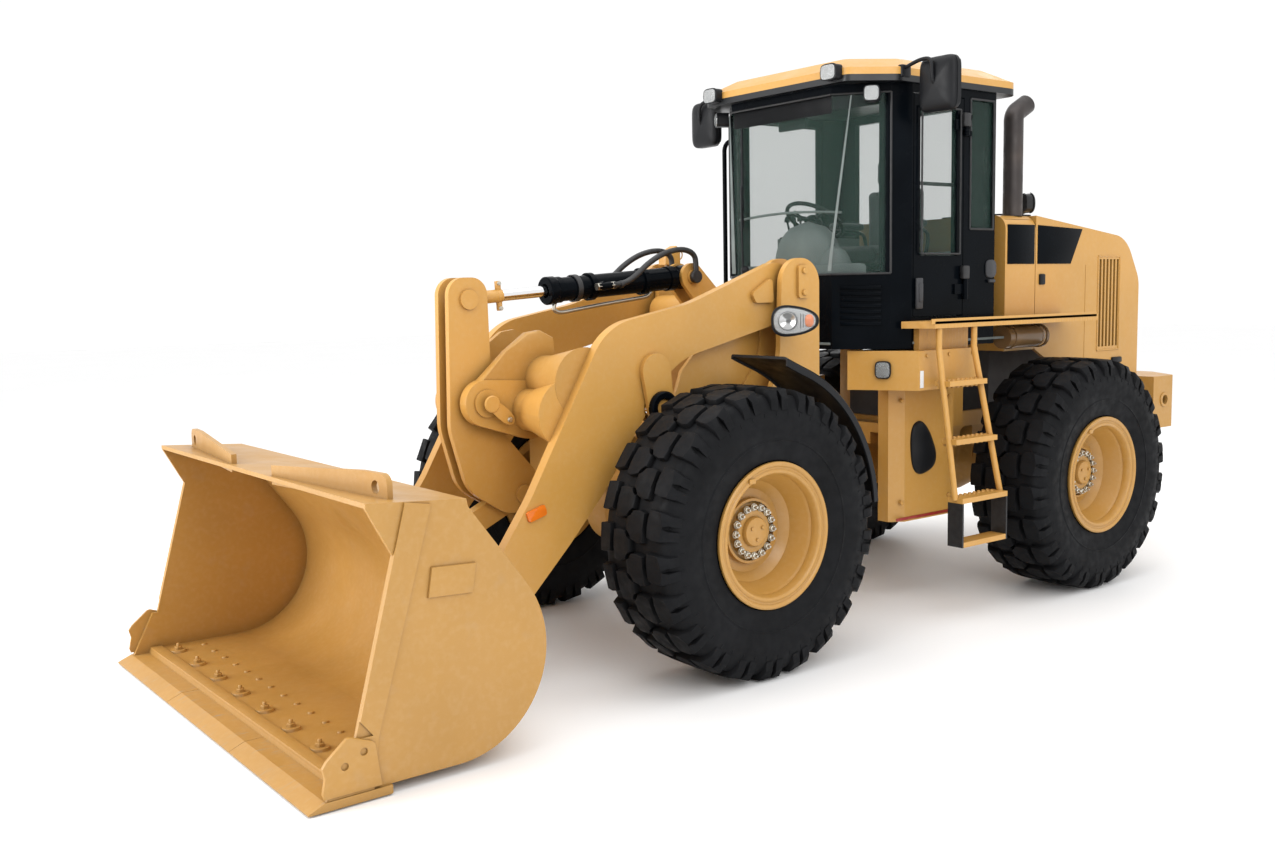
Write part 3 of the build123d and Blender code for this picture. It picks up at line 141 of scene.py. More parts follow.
def add_rod(bm, start, end, radius, sides=20, rounding=0.0):
    """Adds a round bar between two points with rounded rims."""
    start, end = Vector(start), Vector(end)
    made = bmesh.ops.create_cone(
        bm,
        cap_ends=True,
        segments=sides,
        radius1=radius,
        radius2=radius,
        depth=(end - start).length,
        matrix=placed((start + end) / 2, end - start),
    )["verts"]
    if rounding:
        edges = {edge for vert in made for edge in vert.link_edges}
        rims = [edge for edge in edges if any(len(face.verts) > 4 for face in edge.link_faces)]
        bevel_edges(bm, rims, rounding)


def add_lathe(bm, profile, place, sides=48, closed=False):
    """Adds a form turned about local Z from (radius, height) points."""
    rings = []
    for radius, height in profile:
        angles = turns(sides) if radius > 1e-6 else [0.0]
        rings.append([bm.verts.new(place @ round_point(radius, turn, height)) for turn in angles])
    following = rings[1:] + rings[:1] if closed else rings[1:]
    for ring, after in zip(rings, following):
        for step in range(sides):
            corners = []
            for vert in (
                ring[step % len(ring)],
                ring[(step + 1) % sides % len(ring)],
                after[(step + 1) % sides % len(after)],
                after[step % len(after)],
            ):
                if vert not in corners:
                    corners.append(vert)
            if len(corners) > 2:
                bm.faces.new(corners)


def add_band(bm, inner, outer, length, place):
    """Adds a flat ring round local Z."""
    add_lathe(bm, [(inner, 0.0), (outer, 0.0), (outer, length), (inner, length)], place, 40, closed=True)


def add_plate(bm, outline, depth, rounding=0.0):
    """Adds a flat plate from an outline of points, pushed out along a vector."""
    depth = Vector(depth)
    low = [bm.verts.new(Vector(point)) for point in outline]
    high = [bm.verts.new(Vector(point) + depth) for point in outline]
    bm.faces.new(low[::-1])
    top = bm.faces.new(high)
    count = len(outline)
    for step in range(count):
        after = (step + 1) % count
        bm.faces.new((low[step], low[after], high[after], high[step]))
    if rounding:
        bevel_edges(bm, top.edges, rounding)


def add_drilled_plate(bm, outline, holes, depth, rounding=0.0):
    """Adds a flat plate with round holes, given as (middle, radius, axis), pushed out along a vector."""
    loops = [[Vector(point) for point in outline]]
    for middle, radius, axis in holes:
        ring = placed(middle, axis)
        loops.append([ring @ round_point(radius, turn) for turn in turns(24)])
    edges = []
    for loop in loops:
        verts = [bm.verts.new(point) for point in loop]
        edges += [bm.edges.new(pair) for pair in around(verts)]
    filled = bmesh.ops.triangle_fill(bm, use_beauty=True, use_dissolve=False, edges=edges, normal=depth)
    faces = [item for item in filled["geom"] if isinstance(item, bmesh.types.BMFace)]
    made = bmesh.ops.extrude_face_region(bm, geom=faces, use_keep_orig=True)["geom"]
    bmesh.ops.translate(bm, verts=[item for item in made if isinstance(item, bmesh.types.BMVert)], vec=depth)
    tops = {item for item in made if isinstance(item, bmesh.types.BMFace)}
    if rounding:
        edges = {edge for face in tops for edge in face.edges}
        rims = [edge for edge in edges if any(other not in tops for other in edge.link_faces)]
        bevel_edges(bm, rims, rounding)
    bmesh.ops.recalc_face_normals(bm, faces=bm.faces[:])


def add_pipe(bm, points, radius, resolution=6):
    """Adds a round tube along a smooth line through control points."""
    curve = bpy.data.curves.new("pipe_line", "CURVE")
    curve.dimensions = "3D"
    curve.bevel_depth = radius
    curve.bevel_resolution = 3
    curve.use_fill_caps = True
    curve.resolution_u = resolution
    spline = curve.splines.new("NURBS")
    spline.points.add(len(points) - 1)
    for knot, point in zip(spline.points, points):
        knot.co = (*point, 1.0)
    spline.order_u = min(3, len(points))
    spline.use_endpoint_u = True
    holder = bpy.data.objects.new("pipe_line", curve)
    mesh = bpy.data.meshes.new_from_object(holder)
    bm.from_mesh(mesh)
    bpy.data.objects.remove(holder)
    bpy.data.curves.remove(curve)
    bpy.data.meshes.remove(mesh)


def add_frame(bm, corners, radius):
    """Adds straight tubes from corner to corner of a closed line."""
    for pair in around(corners):
        add_pipe(bm, pair, radius)


def add_bolt(bm, point, direction, width, stud=0.0):
    """Adds a hexagon head on a washer, with the stud's end standing out if asked for."""
    place = placed(point, direction)
    washer, corner, top = 0.62 * width, 0.577 * width, 0.47 * width
    add_lathe(bm, [(0, -0.004), (washer, -0.004), (washer, 0.07 * width), (0, 0.07 * width)], place, 16)
    head = [(0, 0.06 * width), (corner, 0.06 * width), (corner, 0.40 * width), (0.49 * width, top), (0, top)]
    add_lathe(bm, head, place, 6)
    if stud:
        shank, tip = 0.27 * width, top + stud
        end = [(shank, 0.4 * width), (shank, tip), (0.2 * width, tip + 0.004), (0, tip + 0.004)]
        add_lathe(bm, end, place, 12)


def oval_outline(middle, across, up, half_across, half_up, power=2.6, count=28):
    """Points of a rounded rectangle or oval round a middle, in the plane of two directions."""
    middle, across, up = Vector(middle), Vector(across), Vector(up)
    points = []
    for turn in turns(count):
        c, s = math.cos(turn), math.sin(turn)
        a = half_across * math.copysign(abs(c) ** (2 / power), c)
        b = half_up * math.copysign(abs(s) ** (2 / power), s)
        points.append(middle + across * a + up * b)
    return points


def add_dome(bm, place, half_x, half_y, height, power=2.6, rings=6, sides=32, taper=0.0):
    """Adds a closed swelling form on a rounded footprint, with its height along local Z."""
    levels = []
    for level in range(rings):
        lift = level / rings
        shrink = (1 - lift**2.4) ** 0.5
        half = (half_x * shrink, half_y * shrink)
        outline = oval_outline((0, 0, height * lift), (1, 0, 0), (0, 1, 0), *half, power, sides)
        levels.append(
            [bm.verts.new(place @ Vector((p.x, p.y * (1 - taper * p.x / half_x), p.z))) for p in outline]
        )
    tip = bm.verts.new(place @ Vector((0, 0, height)))
    bm.faces.new(levels[0][::-1])
    for ring, after in zip(levels, levels[1:]):
        for (low, low_next), (high, high_next) in zip(around(ring), around(after)):
            bm.faces.new((low, low_next, high_next, high))
    for low, low_next in around(levels[-1]):
        bm.faces.new((low, low_next, tip))


def mesh_of(name, bm):
    """Turns a form into a mesh."""
    mesh = bpy.data.meshes.new(name)
    bm.to_mesh(mesh)
    bm.free()
    return mesh


def smooth_mesh(name, bm, crease):
    """Turns a form into a mesh with outward faces that are smooth up to a crease angle."""
    bmesh.ops.recalc_face_normals(bm, faces=bm.faces)
    mesh = mesh_of(name, bm)
    for polygon in mesh.polygons:
        polygon.use_smooth = True
    mesh.set_sharp_from_angle(angle=crease)
    return mesh


def linked(name, data):
    """A new object in the scene."""
    thing = bpy.data.objects.new(name, data)
    bpy.context.scene.collection.objects.link(thing)
    return thing


def settle(piece, finish, body, replaces=()):
    """Gives a piece its finish, ties it to its body and hides the solids that it stands for."""
    piece.data.materials.clear()
    piece.data.materials.append(finish_of(finish))
    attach(piece, body)
    if replaces:
        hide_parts(*replaces)


def make_pieces(body, *rows):
    """Turns (name, form, finish, replaced solids) rows into pieces that ride on a body of the machine."""
    for name, bm, finish, *replaces in rows:
        settle(linked(name, smooth_mesh(name, bm, CREASE)), finish, body, replaces)


# Finishes


GUTTER_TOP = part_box("cab_roof")[0][2] + 0.036
GUTTER_BLUR = 0.0005
DUST = (0.62, 0.45, 0.25)
BARE_STEEL = (0.33, 0.28, 0.22)


def new_finish(name, colour, roughness, metallic=0.0):
    """A material with its shader's plain values set."""
    material = bpy.data.materials.new(name)
    material.use_nodes = True
    shader = material.node_tree.nodes["Principled BSDF"]
    shader.inputs["Base Color"].default_value = (*colour[:3], 1.0)
    shader.inputs["Roughness"].default_value = roughness
    shader.inputs["Metallic"].default_value = metallic
    return material.node_tree, shader


def place_in(tree, stretch=None):
    """The surface's own place, stretched along the axes if asked for."""
    spot = tree.nodes.new("ShaderNodeTexCoord").outputs["Object"]
    if stretch is None:
        return spot
    mapping = tree.nodes.new("ShaderNodeMapping")
    mapping.inputs["Scale"].default_value = stretch
    tree.links.new(spot, mapping.inputs["Vector"])
    return mapping.outputs["Vector"]


def noise_in(tree, scale, detail, stretch=None):
    """Cloudy variation at a scale."""
    noise = tree.nodes.new("ShaderNodeTexNoise")
    noise.inputs["Scale"].default_value = scale
    noise.inputs["Detail"].default_value = detail
    tree.links.new(place_in(tree, stretch), noise.inputs["Vector"])
    return noise.outputs["Fac"]


def waves_in(tree, scale, direction):
    """Even ridges across one axis."""
    wave = tree.nodes.new("ShaderNodeTexWave")
    wave.bands_direction = direction
    wave.inputs["Scale"].default_value = scale
    tree.links.new(place_in(tree), wave.inputs["Vector"])
    return wave.outputs["Fac"]


def crossed_in(tree, operation, first, second):
    """Two sets of ridges, each given as (scale, direction), added or multiplied."""
    node = tree.nodes.new("ShaderNodeMath")
    node.operation = operation
    for socket, ridges in zip(node.inputs, (first, second)):
        tree.links.new(waves_in(tree, *ridges), socket)
    return node.outputs["Value"]


def range_in(tree, value, low, high, start=0.35, end=0.65):
    """A value spread between two limits."""
    node = tree.nodes.new("ShaderNodeMapRange")
    limits = {"From Min": start, "From Max": end, "To Min": low, "To Max": high}
    for socket, limit in limits.items():
        node.inputs[socket].default_value = limit
    tree.links.new(value, node.inputs["Value"])
    return node.outputs["Result"]


def shades_in(tree, value, stops):
    """Colours spread along a value from (position, colour) stops."""
    node = tree.nodes.new("ShaderNodeValToRGB")
    elements = node.color_ramp.elements
    while len(elements) < len(stops):
        elements.new(0.5)
    for element, (position, colour) in zip(elements, stops):
        element.position = position
        element.color = (*colour[:3], 1.0)
    tree.links.new(value, node.inputs["Fac"])
    return node.outputs["Color"]


def mix_in(tree, factor, first, second):
    """Two colours mixed by a factor."""
    node = tree.nodes.new("ShaderNodeMix")
    node.data_type = "RGBA"
    tree.links.new(factor, node.inputs[0])
    for socket, value in ((node.inputs[6], first), (node.inputs[7], second)):
        if isinstance(value, tuple):
            socket.default_value = (*value[:3], 1.0)
        else:
            tree.links.new(value, socket)
    return node.outputs[2]


def bump_in(tree, shader, height, strength, depth):
    """Relief on the surface from a value."""
    node = tree.nodes.new("ShaderNodeBump")
    node.inputs["Strength"].default_value = strength
    node.inputs["Distance"].default_value = depth
    tree.links.new(height, node.inputs["Height"])
    tree.links.new(node.outputs["Normal"], shader.inputs["Normal"])


def painted_shade_in(tree, colour, reach, shadow_tone):
    """A colour darkened by occlusion where surfaces meet: painted shade."""
    hollow = tree.nodes.new("ShaderNodeAmbientOcclusion")
    hollow.samples = 6
    hollow.inputs["Distance"].default_value = reach
    return mix_in(tree, range_in(tree, hollow.outputs["AO"], 0.75, 0.0, 0.25, 0.85), colour, shadow_tone)


def scaled(colour, amount):
    """A colour made lighter or darker."""
    return tuple(min(1.0, part * amount) for part in colour[:3])


def clouds_in(tree, scale, detail, colour, dark, light):
    """A colour that varies in clouds between a darker and a lighter share of itself."""
    stops = [(0.3, scaled(colour, dark)), (0.7, scaled(colour, light))]
    return shades_in(tree, noise_in(tree, scale, detail), stops)


def tint(tree, shader, shade):
    """Leads a varied colour to the shader."""
    tree.links.new(shade, shader.inputs["Base Color"])


def gloss(tree, shader, value, low, high):
    """Spreads the roughness between two limits along a value."""
    tree.links.new(range_in(tree, value, low, high), shader.inputs["Roughness"])


def look():
    """The machine's main colours."""
    return bpy.context.scene.loader_colours


def paint(name, colour, roughness, peel, scratches=0.0):
    """Machine paint with faint clouds, fine dust, painted shade in the corners and an orange-peel skin."""
    tree, shader = new_finish(name, colour, roughness)
    clouds = clouds_in(tree, 1.7, 6, colour, 0.93, 1.05)
    shade = mix_in(tree, range_in(tree, noise_in(tree, 38, 6), 0.0, 0.1, 0.45, 0.75), clouds, DUST)
    if scratches:
        rubbed = range_in(tree, noise_in(tree, 9, 8, (1, 9, 1)), 0.0, scratches, 0.6, 0.72)
        shade = mix_in(tree, rubbed, shade, BARE_STEEL)
    # The occlusion mix paints shade into the corners, towards a dark share of the colour.
    tint(tree, shader, painted_shade_in(tree, shade, 0.11, scaled(colour, 0.42)))
    gloss(tree, shader, noise_in(tree, 5, 8), roughness - 0.07, roughness + 0.1)
    shader.inputs["Coat Weight"].default_value = 0.15
    shader.inputs["Coat Roughness"].default_value = 0.25
    bump_in(tree, shader, noise_in(tree, peel, 3), 0.1, 0.001)
    return tree, shader


def yellow_paint(name, share, roughness, peel, scratches=0.0):
    """A share of the machine yellow."""
    return paint(name, scaled(look().yellow, share), roughness, peel, scratches)


def roof_paint(name):
    """Machine yellow with a black gutter band along the roof's lower rim."""
    tree, shader = yellow_paint(name, 1.0, 0.4, 420)
    yellow = shader.inputs["Base Color"].links[0].from_socket
    place = tree.nodes.new("ShaderNodeSeparateXYZ")
    tree.links.new(place_in(tree), place.inputs["Vector"])
    above = range_in(tree, place.outputs["Z"], 0.0, 1.0, GUTTER_TOP - GUTTER_BLUR, GUTTER_TOP + GUTTER_BLUR)
    tint(tree, shader, mix_in(tree, above, scaled(look().black, 1.0), yellow))


def tread_plate(name):
    """Yellow plate with raised diamonds on its top."""
    tree, shader = yellow_paint(name, 1.0, 0.46, 300)
    bump_in(tree, shader, crossed_in(tree, "MULTIPLY", (9, "DIAGONAL"), (11, "X")), 0.5, 0.003)


def gloss_black(name):
    """Black cab enamel."""
    tree, shader = new_finish(name, look().black, 0.2)
    tint(tree, shader, clouds_in(tree, 3, 5, look().black, 0.8, 1.5))
    gloss(tree, shader, noise_in(tree, 7, 7), 0.14, 0.3)
    shader.inputs["Specular IOR Level"].default_value = 0.045
    bump_in(tree, shader, noise_in(tree, 300, 2), 0.05, 0.0006)


def grained_plastic(name, colour, roughness):
    """Moulded plastic with a fine leathery grain."""
    tree, shader = new_finish(name, colour, roughness)
    tint(tree, shader, clouds_in(tree, 6, 6, colour, 0.85, 1.2))
    cells = tree.nodes.new("ShaderNodeTexVoronoi")
    cells.inputs["Scale"].default_value = 520
    tree.links.new(place_in(tree), cells.inputs["Vector"])
    gloss(tree, shader, noise_in(tree, 14, 6), roughness - 0.08, roughness + 0.08)
    shader.inputs["Specular IOR Level"].default_value = 0.2
    bump_in(tree, shader, cells.outputs["Distance"], 0.2, 0.0008)


def tyre_rubber(name):
    """Tyre rubber, with painted shade in the grooves between its blocks."""
    rubber = look().rubber
    tree, shader = new_finish(name, rubber, 0.62)
    clouds = clouds_in(tree, 4, 7, rubber, 0.75, 1.35)
    # The occlusion mix paints shade into the grooves between the blocks.
    tint(tree, shader, painted_shade_in(tree, clouds, 0.085, scaled(rubber, 0.12)))
    gloss(tree, shader, noise_in(tree, 20, 6), 0.5, 0.72)
    shader.inputs["Specular IOR Level"].default_value = 0.11
    bump_in(tree, shader, noise_in(tree, 170, 6), 0.22, 0.0015)


def hose_rubber(name):
    """Hose cover with a fine wrapped pattern."""
    tree, shader = new_finish(name, (0.012, 0.012, 0.013), 0.45)
    stops = [(0.3, (0.008, 0.008, 0.009)), (0.7, (0.02, 0.02, 0.021))]
    tint(tree, shader, shades_in(tree, noise_in(tree, 30, 4), stops))
    bump_in(tree, shader, crossed_in(tree, "ADD", (160, "DIAGONAL"), (140, "X")), 0.2, 0.0008)


def metal(name, colour, low, high, grain):
    """Bare metal with fine drawn or turned marks."""
    tree, shader = new_finish(name, colour, (low + high) / 2, 1.0)
    marks = noise_in(tree, grain, 6, (1, 1, 6))
    tint(tree, shader, clouds_in(tree, 12, 5, colour, 0.86, 1.08))
    gloss(tree, shader, marks, low, high)
    bump_in(tree, shader, marks, 0.04, 0.0004)


def exhaust_steel(name):
    """Exhaust pipe, browned by heat."""
    tree, shader = new_finish(name, (0.05, 0.043, 0.041), 0.45, 0.5)
    stops = [(0.25, (0.034, 0.03, 0.03)), (0.55, (0.058, 0.049, 0.046)), (0.8, (0.09, 0.07, 0.06))]
    tint(tree, shader, shades_in(tree, noise_in(tree, 5, 8), stops))
    gloss(tree, shader, noise_in(tree, 16, 8), 0.36, 0.6)
    bump_in(tree, shader, noise_in(tree, 140, 6), 0.15, 0.001)


def see_through(name, colour, alpha, roughness):
    """Clear sheet with faint smears."""
    tree, shader = new_finish(name, colour, roughness)
    shader.inputs["Alpha"].default_value = alpha
    shader.inputs["IOR"].default_value = 1.5
    gloss(tree, shader, noise_in(tree, 3, 7), roughness, roughness + 0.05)
    tint(tree, shader, clouds_in(tree, 1.4, 4, colour, 0.92, 1.0))
    return tree, shader


def lens(name, colour, alpha):
    """Lamp lens with pressed flutes."""
    tree, shader = see_through(name, colour, alpha, 0.05)
    bump_in(tree, shader, crossed_in(tree, "ADD", (26, "Y"), (9, "Z")), 0.35, 0.002)


def seat_cloth(name):
    """Dark woven seat cloth."""
    tree, shader = new_finish(name, (0.03, 0.031, 0.034), 0.86)
    weave = crossed_in(tree, "ADD", (120, "Y"), (120, "Z"))
    tint(tree, shader, shades_in(tree, weave, [(0.2, (0.014, 0.0145, 0.016)), (0.9, (0.05, 0.051, 0.056))]))
    shader.inputs["Sheen Weight"].default_value = 0.4
    bump_in(tree, shader, weave, 0.4, 0.0012)


def duct_brown(name):
    """Glossy duct moulding, yellow under the platform, with that shade painted into its brown colour."""
    tree, shader = new_finish(name, (0.15, 0.085, 0.035), 0.26)
    stops = [(0.3, (0.11, 0.06, 0.024)), (0.7, (0.19, 0.11, 0.048))]
    tint(tree, shader, shades_in(tree, noise_in(tree, 4, 5), stops))
    bump_in(tree, shader, noise_in(tree, 210, 3), 0.08, 0.0008)


def squared(name, colour, roughness, scale, dark, light, strength, depth):
    """Small even squares, dark at their edges: a prism reflector or a woven screen."""
    tree, shader = new_finish(name, colour, roughness)
    cells = crossed_in(tree, "MULTIPLY", (scale, "X"), (scale, "Z"))
    tint(tree, shader, shades_in(tree, cells, [dark, light]))
    bump_in(tree, shader, cells, strength, depth)


def floor_finish(name):
    """Plain pale floor."""
    tree, shader = new_finish(name, (0.95, 0.95, 0.95), 0.6)
    stops = [(0.3, (0.945, 0.945, 0.945)), (0.7, (0.96, 0.96, 0.96))]
    tint(tree, shader, shades_in(tree, noise_in(tree, 0.6, 3), stops))


# Each finish: the record's slot, the function that makes it, and what that function is given.
FINISHES = {
    "yellow_paint": ("paint_yellow", yellow_paint, 1.0, 0.4, 420),
    "roof_paint": ("paint_yellow", roof_paint),
    "cast_paint": ("cast", yellow_paint, 0.86, 0.5, 120),
    # The bucket's darker share of yellow is painted shade; its rubbed patches are wear.
    "bucket_paint": ("paint_yellow", yellow_paint, 0.75, 0.48, 260, 0.1),
    "edge_paint": ("paint_yellow", yellow_paint, 0.76, 0.52, 160, 0.75),
    # The rims' darker share of yellow is painted shade.
    "rim_paint": ("paint_yellow", yellow_paint, 0.84, 0.36, 380),
    "tread_plate": ("paint_yellow", tread_plate),
    "gloss_black": ("paint_black", gloss_black),
    "moulded_black": ("plastic", grained_plastic, (0.009, 0.0095, 0.011), 0.4),
    "cab_plastic": ("plastic", grained_plastic, (0.17, 0.195, 0.19), 0.55),
    "handle_grey": ("plastic", grained_plastic, (0.05, 0.051, 0.055), 0.42),
    "tyre_rubber": ("tyre", tyre_rubber),
    "hose_rubber": ("rubber", hose_rubber),
    "chrome": ("chrome", metal, (0.8, 0.8, 0.79), 0.04, 0.14, 60),
    "plated_steel": ("chrome", metal, (0.56, 0.53, 0.46), 0.26, 0.45, 90),
    "mirror_face": ("chrome", metal, (0.85, 0.87, 0.87), 0.015, 0.03, 40),
    "exhaust_steel": ("exhaust", exhaust_steel),
    "cab_pane": ("glass", see_through, (0.05, 0.10, 0.08), 0.17, 0.012),
    "clear_lens": ("lens", lens, (0.5, 0.52, 0.52), 0.22),
    "amber_lens": ("lens", lens, (0.86, 0.2, 0.015), 0.94),
    "red_lens": ("lens", lens, (0.5, 0.012, 0.012), 0.95),
    "lamp_silver": ("chrome", metal, (0.66, 0.66, 0.66), 0.1, 0.22, 30),
    "seat_cloth": ("fabric", seat_cloth),
    "engine_grey": ("engine", grained_plastic, (0.09, 0.09, 0.092), 0.5),
    # Brown of the duct and its clamps: painted shade on yellow.
    "duct_brown": ("plastic", duct_brown),
    "reflector_white": (
        "lens", squared, (0.8, 0.81, 0.8), 0.25, 90,
        (0.0, (0.66, 0.67, 0.67)), (0.6, (0.88, 0.88, 0.87)), 0.2, 0.001,
    ),
    "red_strip": ("plastic", paint, (0.33, 0.02, 0.018), 0.4, 300),
    "dark_mesh": (
        "plastic", squared, (0.012, 0.012, 0.013), 0.6, 45,
        (0.0, (0.004, 0.004, 0.004)), (0.7, (0.03, 0.03, 0.031)), 0.6, 0.003,
    ),
    "floor_finish": ("plastic", floor_finish),
}

SOLID_FINISHES = {
    "bucket_paint": ["bucket_shell"],
    "edge_paint": ["bucket_edge"],
    "yellow_paint": [
        "lift_arms", "bell_crank", "tilt_link", "front_frame", "tower_plates", "tower_pins", "rear_frame",
        "cowl", "hood", "side_box_left", "side_box_right", "ladder",
    ],
    "roof_paint": ["cab_roof"],
    "tread_plate": ["walkway_left", "walkway_right"],
    "cast_paint": ["front_axle", "rear_axle", "counterweight"],
    "rim_paint": ["rim_front_left", "rim_front_right", "rim_rear_left", "rim_rear_right"],
    "chrome": ["lift_rods", "tilt_rod", "steer_rod_left", "steer_rod_right"],
    "hose_rubber": ["tilt_hoses", "ladder_straps"],
    "moulded_black": ["front_fenders", "headlamps", "mirrors", "hood_cap", "steering", "cab_lamps"],
    "clear_lens": ["headlamp_lenses"],
    "red_lens": ["tail_lamps"],
    "engine_grey": ["engine", "gearbox"],
    "gloss_black": [
        "cab_floor", "cab_frame", "door", "grab_rail", "tilt_barrel", "lift_barrels", "steer_barrel_left",
        "steer_barrel_right",
    ],
    "cab_pane": ["windshield", "cab_glass", "door_glass"],
    "cab_plastic": ["console"],
    "seat_cloth": ["seat"],
    "exhaust_steel": ["exhaust"],
    "duct_brown": ["side_duct"],
    "tyre_rubber": ["tyre_front_left", "tyre_front_right", "tyre_rear_left", "tyre_rear_right"],
}


def finish_of(name):
    """The material of that name, made the first time it is asked for."""
    if name not in bpy.data.materials:
        maker, *values = FINISHES[name][1:]
        maker(name, *values)
    return bpy.data.materials[name]


# Settings


FRAME_WIDTH = 36.0
FOCAL_PIXELS, PHOTO_PIXELS = 1242.07, 1275.0


class LoaderColours(bpy.types.PropertyGroup):
    """Main colours of the machine."""

    yellow: FloatVectorProperty(
        name="Machine yellow", description="Paint of the frames, arms and hood", subtype="COLOR",
        size=3, min=0.0, max=1.0, default=(0.575, 0.302, 0.066),
    )
    black: FloatVectorProperty(
        name="Cab black", description="Enamel of the cab and its door", subtype="COLOR",
        size=3, min=0.0, max=1.0, default=(0.0018, 0.0027, 0.004),
    )
    rubber: FloatVectorProperty(
        name="Tyre rubber", description="Colour of the tyres", subtype="COLOR",
        size=3, min=0.0, max=1.0, default=(0.0062, 0.0065, 0.0075),
    )


class LoaderSizes(bpy.types.PropertyGroup):
    """Sizes of the dressing."""

    tread_blocks: IntProperty(
        name="Tread blocks", description="Blocks on each side of a tyre", min=12, max=40, default=22,
    )
    stud_count: IntProperty(
        name="Wheel studs", description="Studs round each hub", min=8, max=32, default=16,
    )
    floor_size: FloatProperty(
        name="Floor", description="Side of the floor", unit="LENGTH", min=10.0, max=200.0, default=90.0,
    )
    lens_length: FloatProperty(
        name="Camera lens", description="Focal length on a 36 mm wide frame, in millimetres",
        min=10.0, max=200.0, default=FRAME_WIDTH * FOCAL_PIXELS / PHOTO_PIXELS,
    )


# Pieces


class LOADER_OT_paint_solids(bpy.types.Operator):
    """Gives every carried-over solid its finish."""

    bl_idname = "loader.paint_solids"
    bl_label = "Paint the solids"

    def execute(self, context):
        finishes = {node: finish for finish, nodes in SOLID_FINISHES.items() for node in nodes}
        for name, solid in frame["nodes"].items():
            if name not in finishes:
                raise RuntimeError(f"no finish is given for {name}")
            solid.data.materials.clear()
            solid.data.materials.append(finish_of(finishes[name]))
        return {"FINISHED"}


TYRE_SIDE = [
    (0.3213, 0.186), (0.345, 0.206), (0.366, 0.222), (0.372, 0.229), (0.395, 0.233), (0.43, 0.241),
    (0.470, 0.248), (0.473, 0.2515), (0.479, 0.2515), (0.482, 0.2495), (0.53, 0.2565), (0.575, 0.2585),
    (0.578, 0.2575), (0.584, 0.2575), (0.588, 0.2565), (0.615, 0.254), (0.640, 0.244), (0.662, 0.234),
    (0.680, 0.222), (0.692, 0.205), (0.6965, 0.16), (0.698, 0.08),
]
TYRE_CROWN = (0.698, 0.0)
SIDE_RIBS = 48
RIB_INNER, RIB_OUTER = (0.592, 0.2555), (0.612, 0.2535)
TREAD_RADIUS = 0.71
TREAD_CLEAR = 0.0005
CROWN_DROP = 0.004
SHOULDER_Y, SHOULDER_WIDTH, SHOULDER_DROP = 0.212, 0.046, 0.062
ROOT_RADIUS = 0.690
ROOT_Y, ROOT_WIDTH, ROOT_DROP = 0.19, 0.07, 0.08
BLOCK_SHARE = 0.89
BLOCK_RISE = 0.03
BLOCK_FOOT = 0.005
BLOCK_SLANT = 0.10
CENTRE_SHIFT = 0.16
SIDE_SHIFT = 0.25
SHOULDER_BLOCK = [
    (-0.36, 0.134), (-0.1, 0.126), (0.1, 0.134), (0.36, 0.130), (0.38, 0.18), (0.37, 0.226), (0.33, 0.258),
    (0.07, 0.258), (0.045, 0.228), (-0.045, 0.228), (-0.07, 0.258), (-0.33, 0.258), (-0.38, 0.22),
    (-0.37, 0.17),
]
CENTRE_BLOCK = [
    (-0.40, 0.118), (-0.12, 0.110), (0.08, 0.118), (0.36, 0.114), (0.41, 0.075), (0.36, 0.016), (0.22, 0.008),
    (0.17, -0.024), (-0.17, -0.024), (-0.22, 0.008), (-0.37, 0.018), (-0.43, 0.07),
]


def wheels():
    """Each wheel's name, side and place, with local Z pointing outwards."""
    for end in ("front", "rear"):
        for side, hand in HANDS.items():
            hub = JOINTS[f"roll_{end}_{hand}"]
            yield f"{end}_{hand}", side, placed((hub.x, side * WHEEL_Y, hub.z), (0, side, 0))


def tread_reach(across):
    """Height of the tread's face at a distance from the tyre's middle."""
    across = abs(across)
    crown = CROWN_DROP * (across / 0.2) ** 2 if across < SHOULDER_Y else CROWN_DROP
    worn = max(0.0, across - SHOULDER_Y) / SHOULDER_WIDTH
    return AXLE_Z - TREAD_CLEAR - crown - SHOULDER_DROP * worn**1.7


def tread_root(across):
    """Height of the carcass at a distance from the tyre's middle, a little below its skin."""
    worn = max(0.0, abs(across) - ROOT_Y) / ROOT_WIDTH
    return ROOT_RADIUS - ROOT_DROP * worn**1.8


def tread_block(outline, pitch):
    """A bevelled tread block laid out flat (round, across, rise), as points and faces."""
    bm = bmesh.new()
    outline = [Vector((u * pitch, v, 0)) for u, v in outline]
    middle = sum(outline, Vector()) / len(outline)
    places = [middle + (point - middle) * BLOCK_SHARE for point in outline]
    feet = [place + (place - middle).normalized() * BLOCK_FOOT for place in places]
    high = [bm.verts.new((place.x, place.y, BLOCK_RISE)) for place in places]
    low = [bm.verts.new((foot.x, foot.y, 0.0)) for foot in feet]
    face = bm.faces.new(high)
    for (a, b), (c, d) in zip(around(low), around(high)):
        bm.faces.new((a, b, d, c))
    bevel_edges(bm, face.edges, 0.0045, 2)
    bmesh.ops.triangulate(bm, faces=[f for f in bm.faces if len(f.verts) > 4])
    verts = [vert.co.copy() for vert in bm.verts]
    bm.verts.index_update()
    faces = [[vert.index for vert in face.verts] for face in bm.faces]
    bm.free()
    return verts, faces


def add_tread(bm, count):
    """Adds both sides' shoulder and centre blocks round a tyre about local Z."""
    pitch = 2 * math.pi * TREAD_RADIUS / count
    for outline, shift in ((SHOULDER_BLOCK, 0.0), (CENTRE_BLOCK, CENTRE_SHIFT)):
        verts, faces = tread_block(outline, pitch)
        for side in SIDES:
            for step in range(count):
                start = (shift + step + SIDE_SHIFT * side) * pitch
                made = []
                for spot in verts:
                    turn = (spot.x + start + BLOCK_SLANT * spot.y) / TREAD_RADIUS
                    root = tread_root(spot.y)
                    radius = root + (tread_reach(spot.y) - root) * min(1.0, spot.z / BLOCK_RISE)
                    made.append(bm.verts.new(round_point(radius, turn, side * spot.y)))
                for face in faces:
                    bm.faces.new([made[index] for index in face])


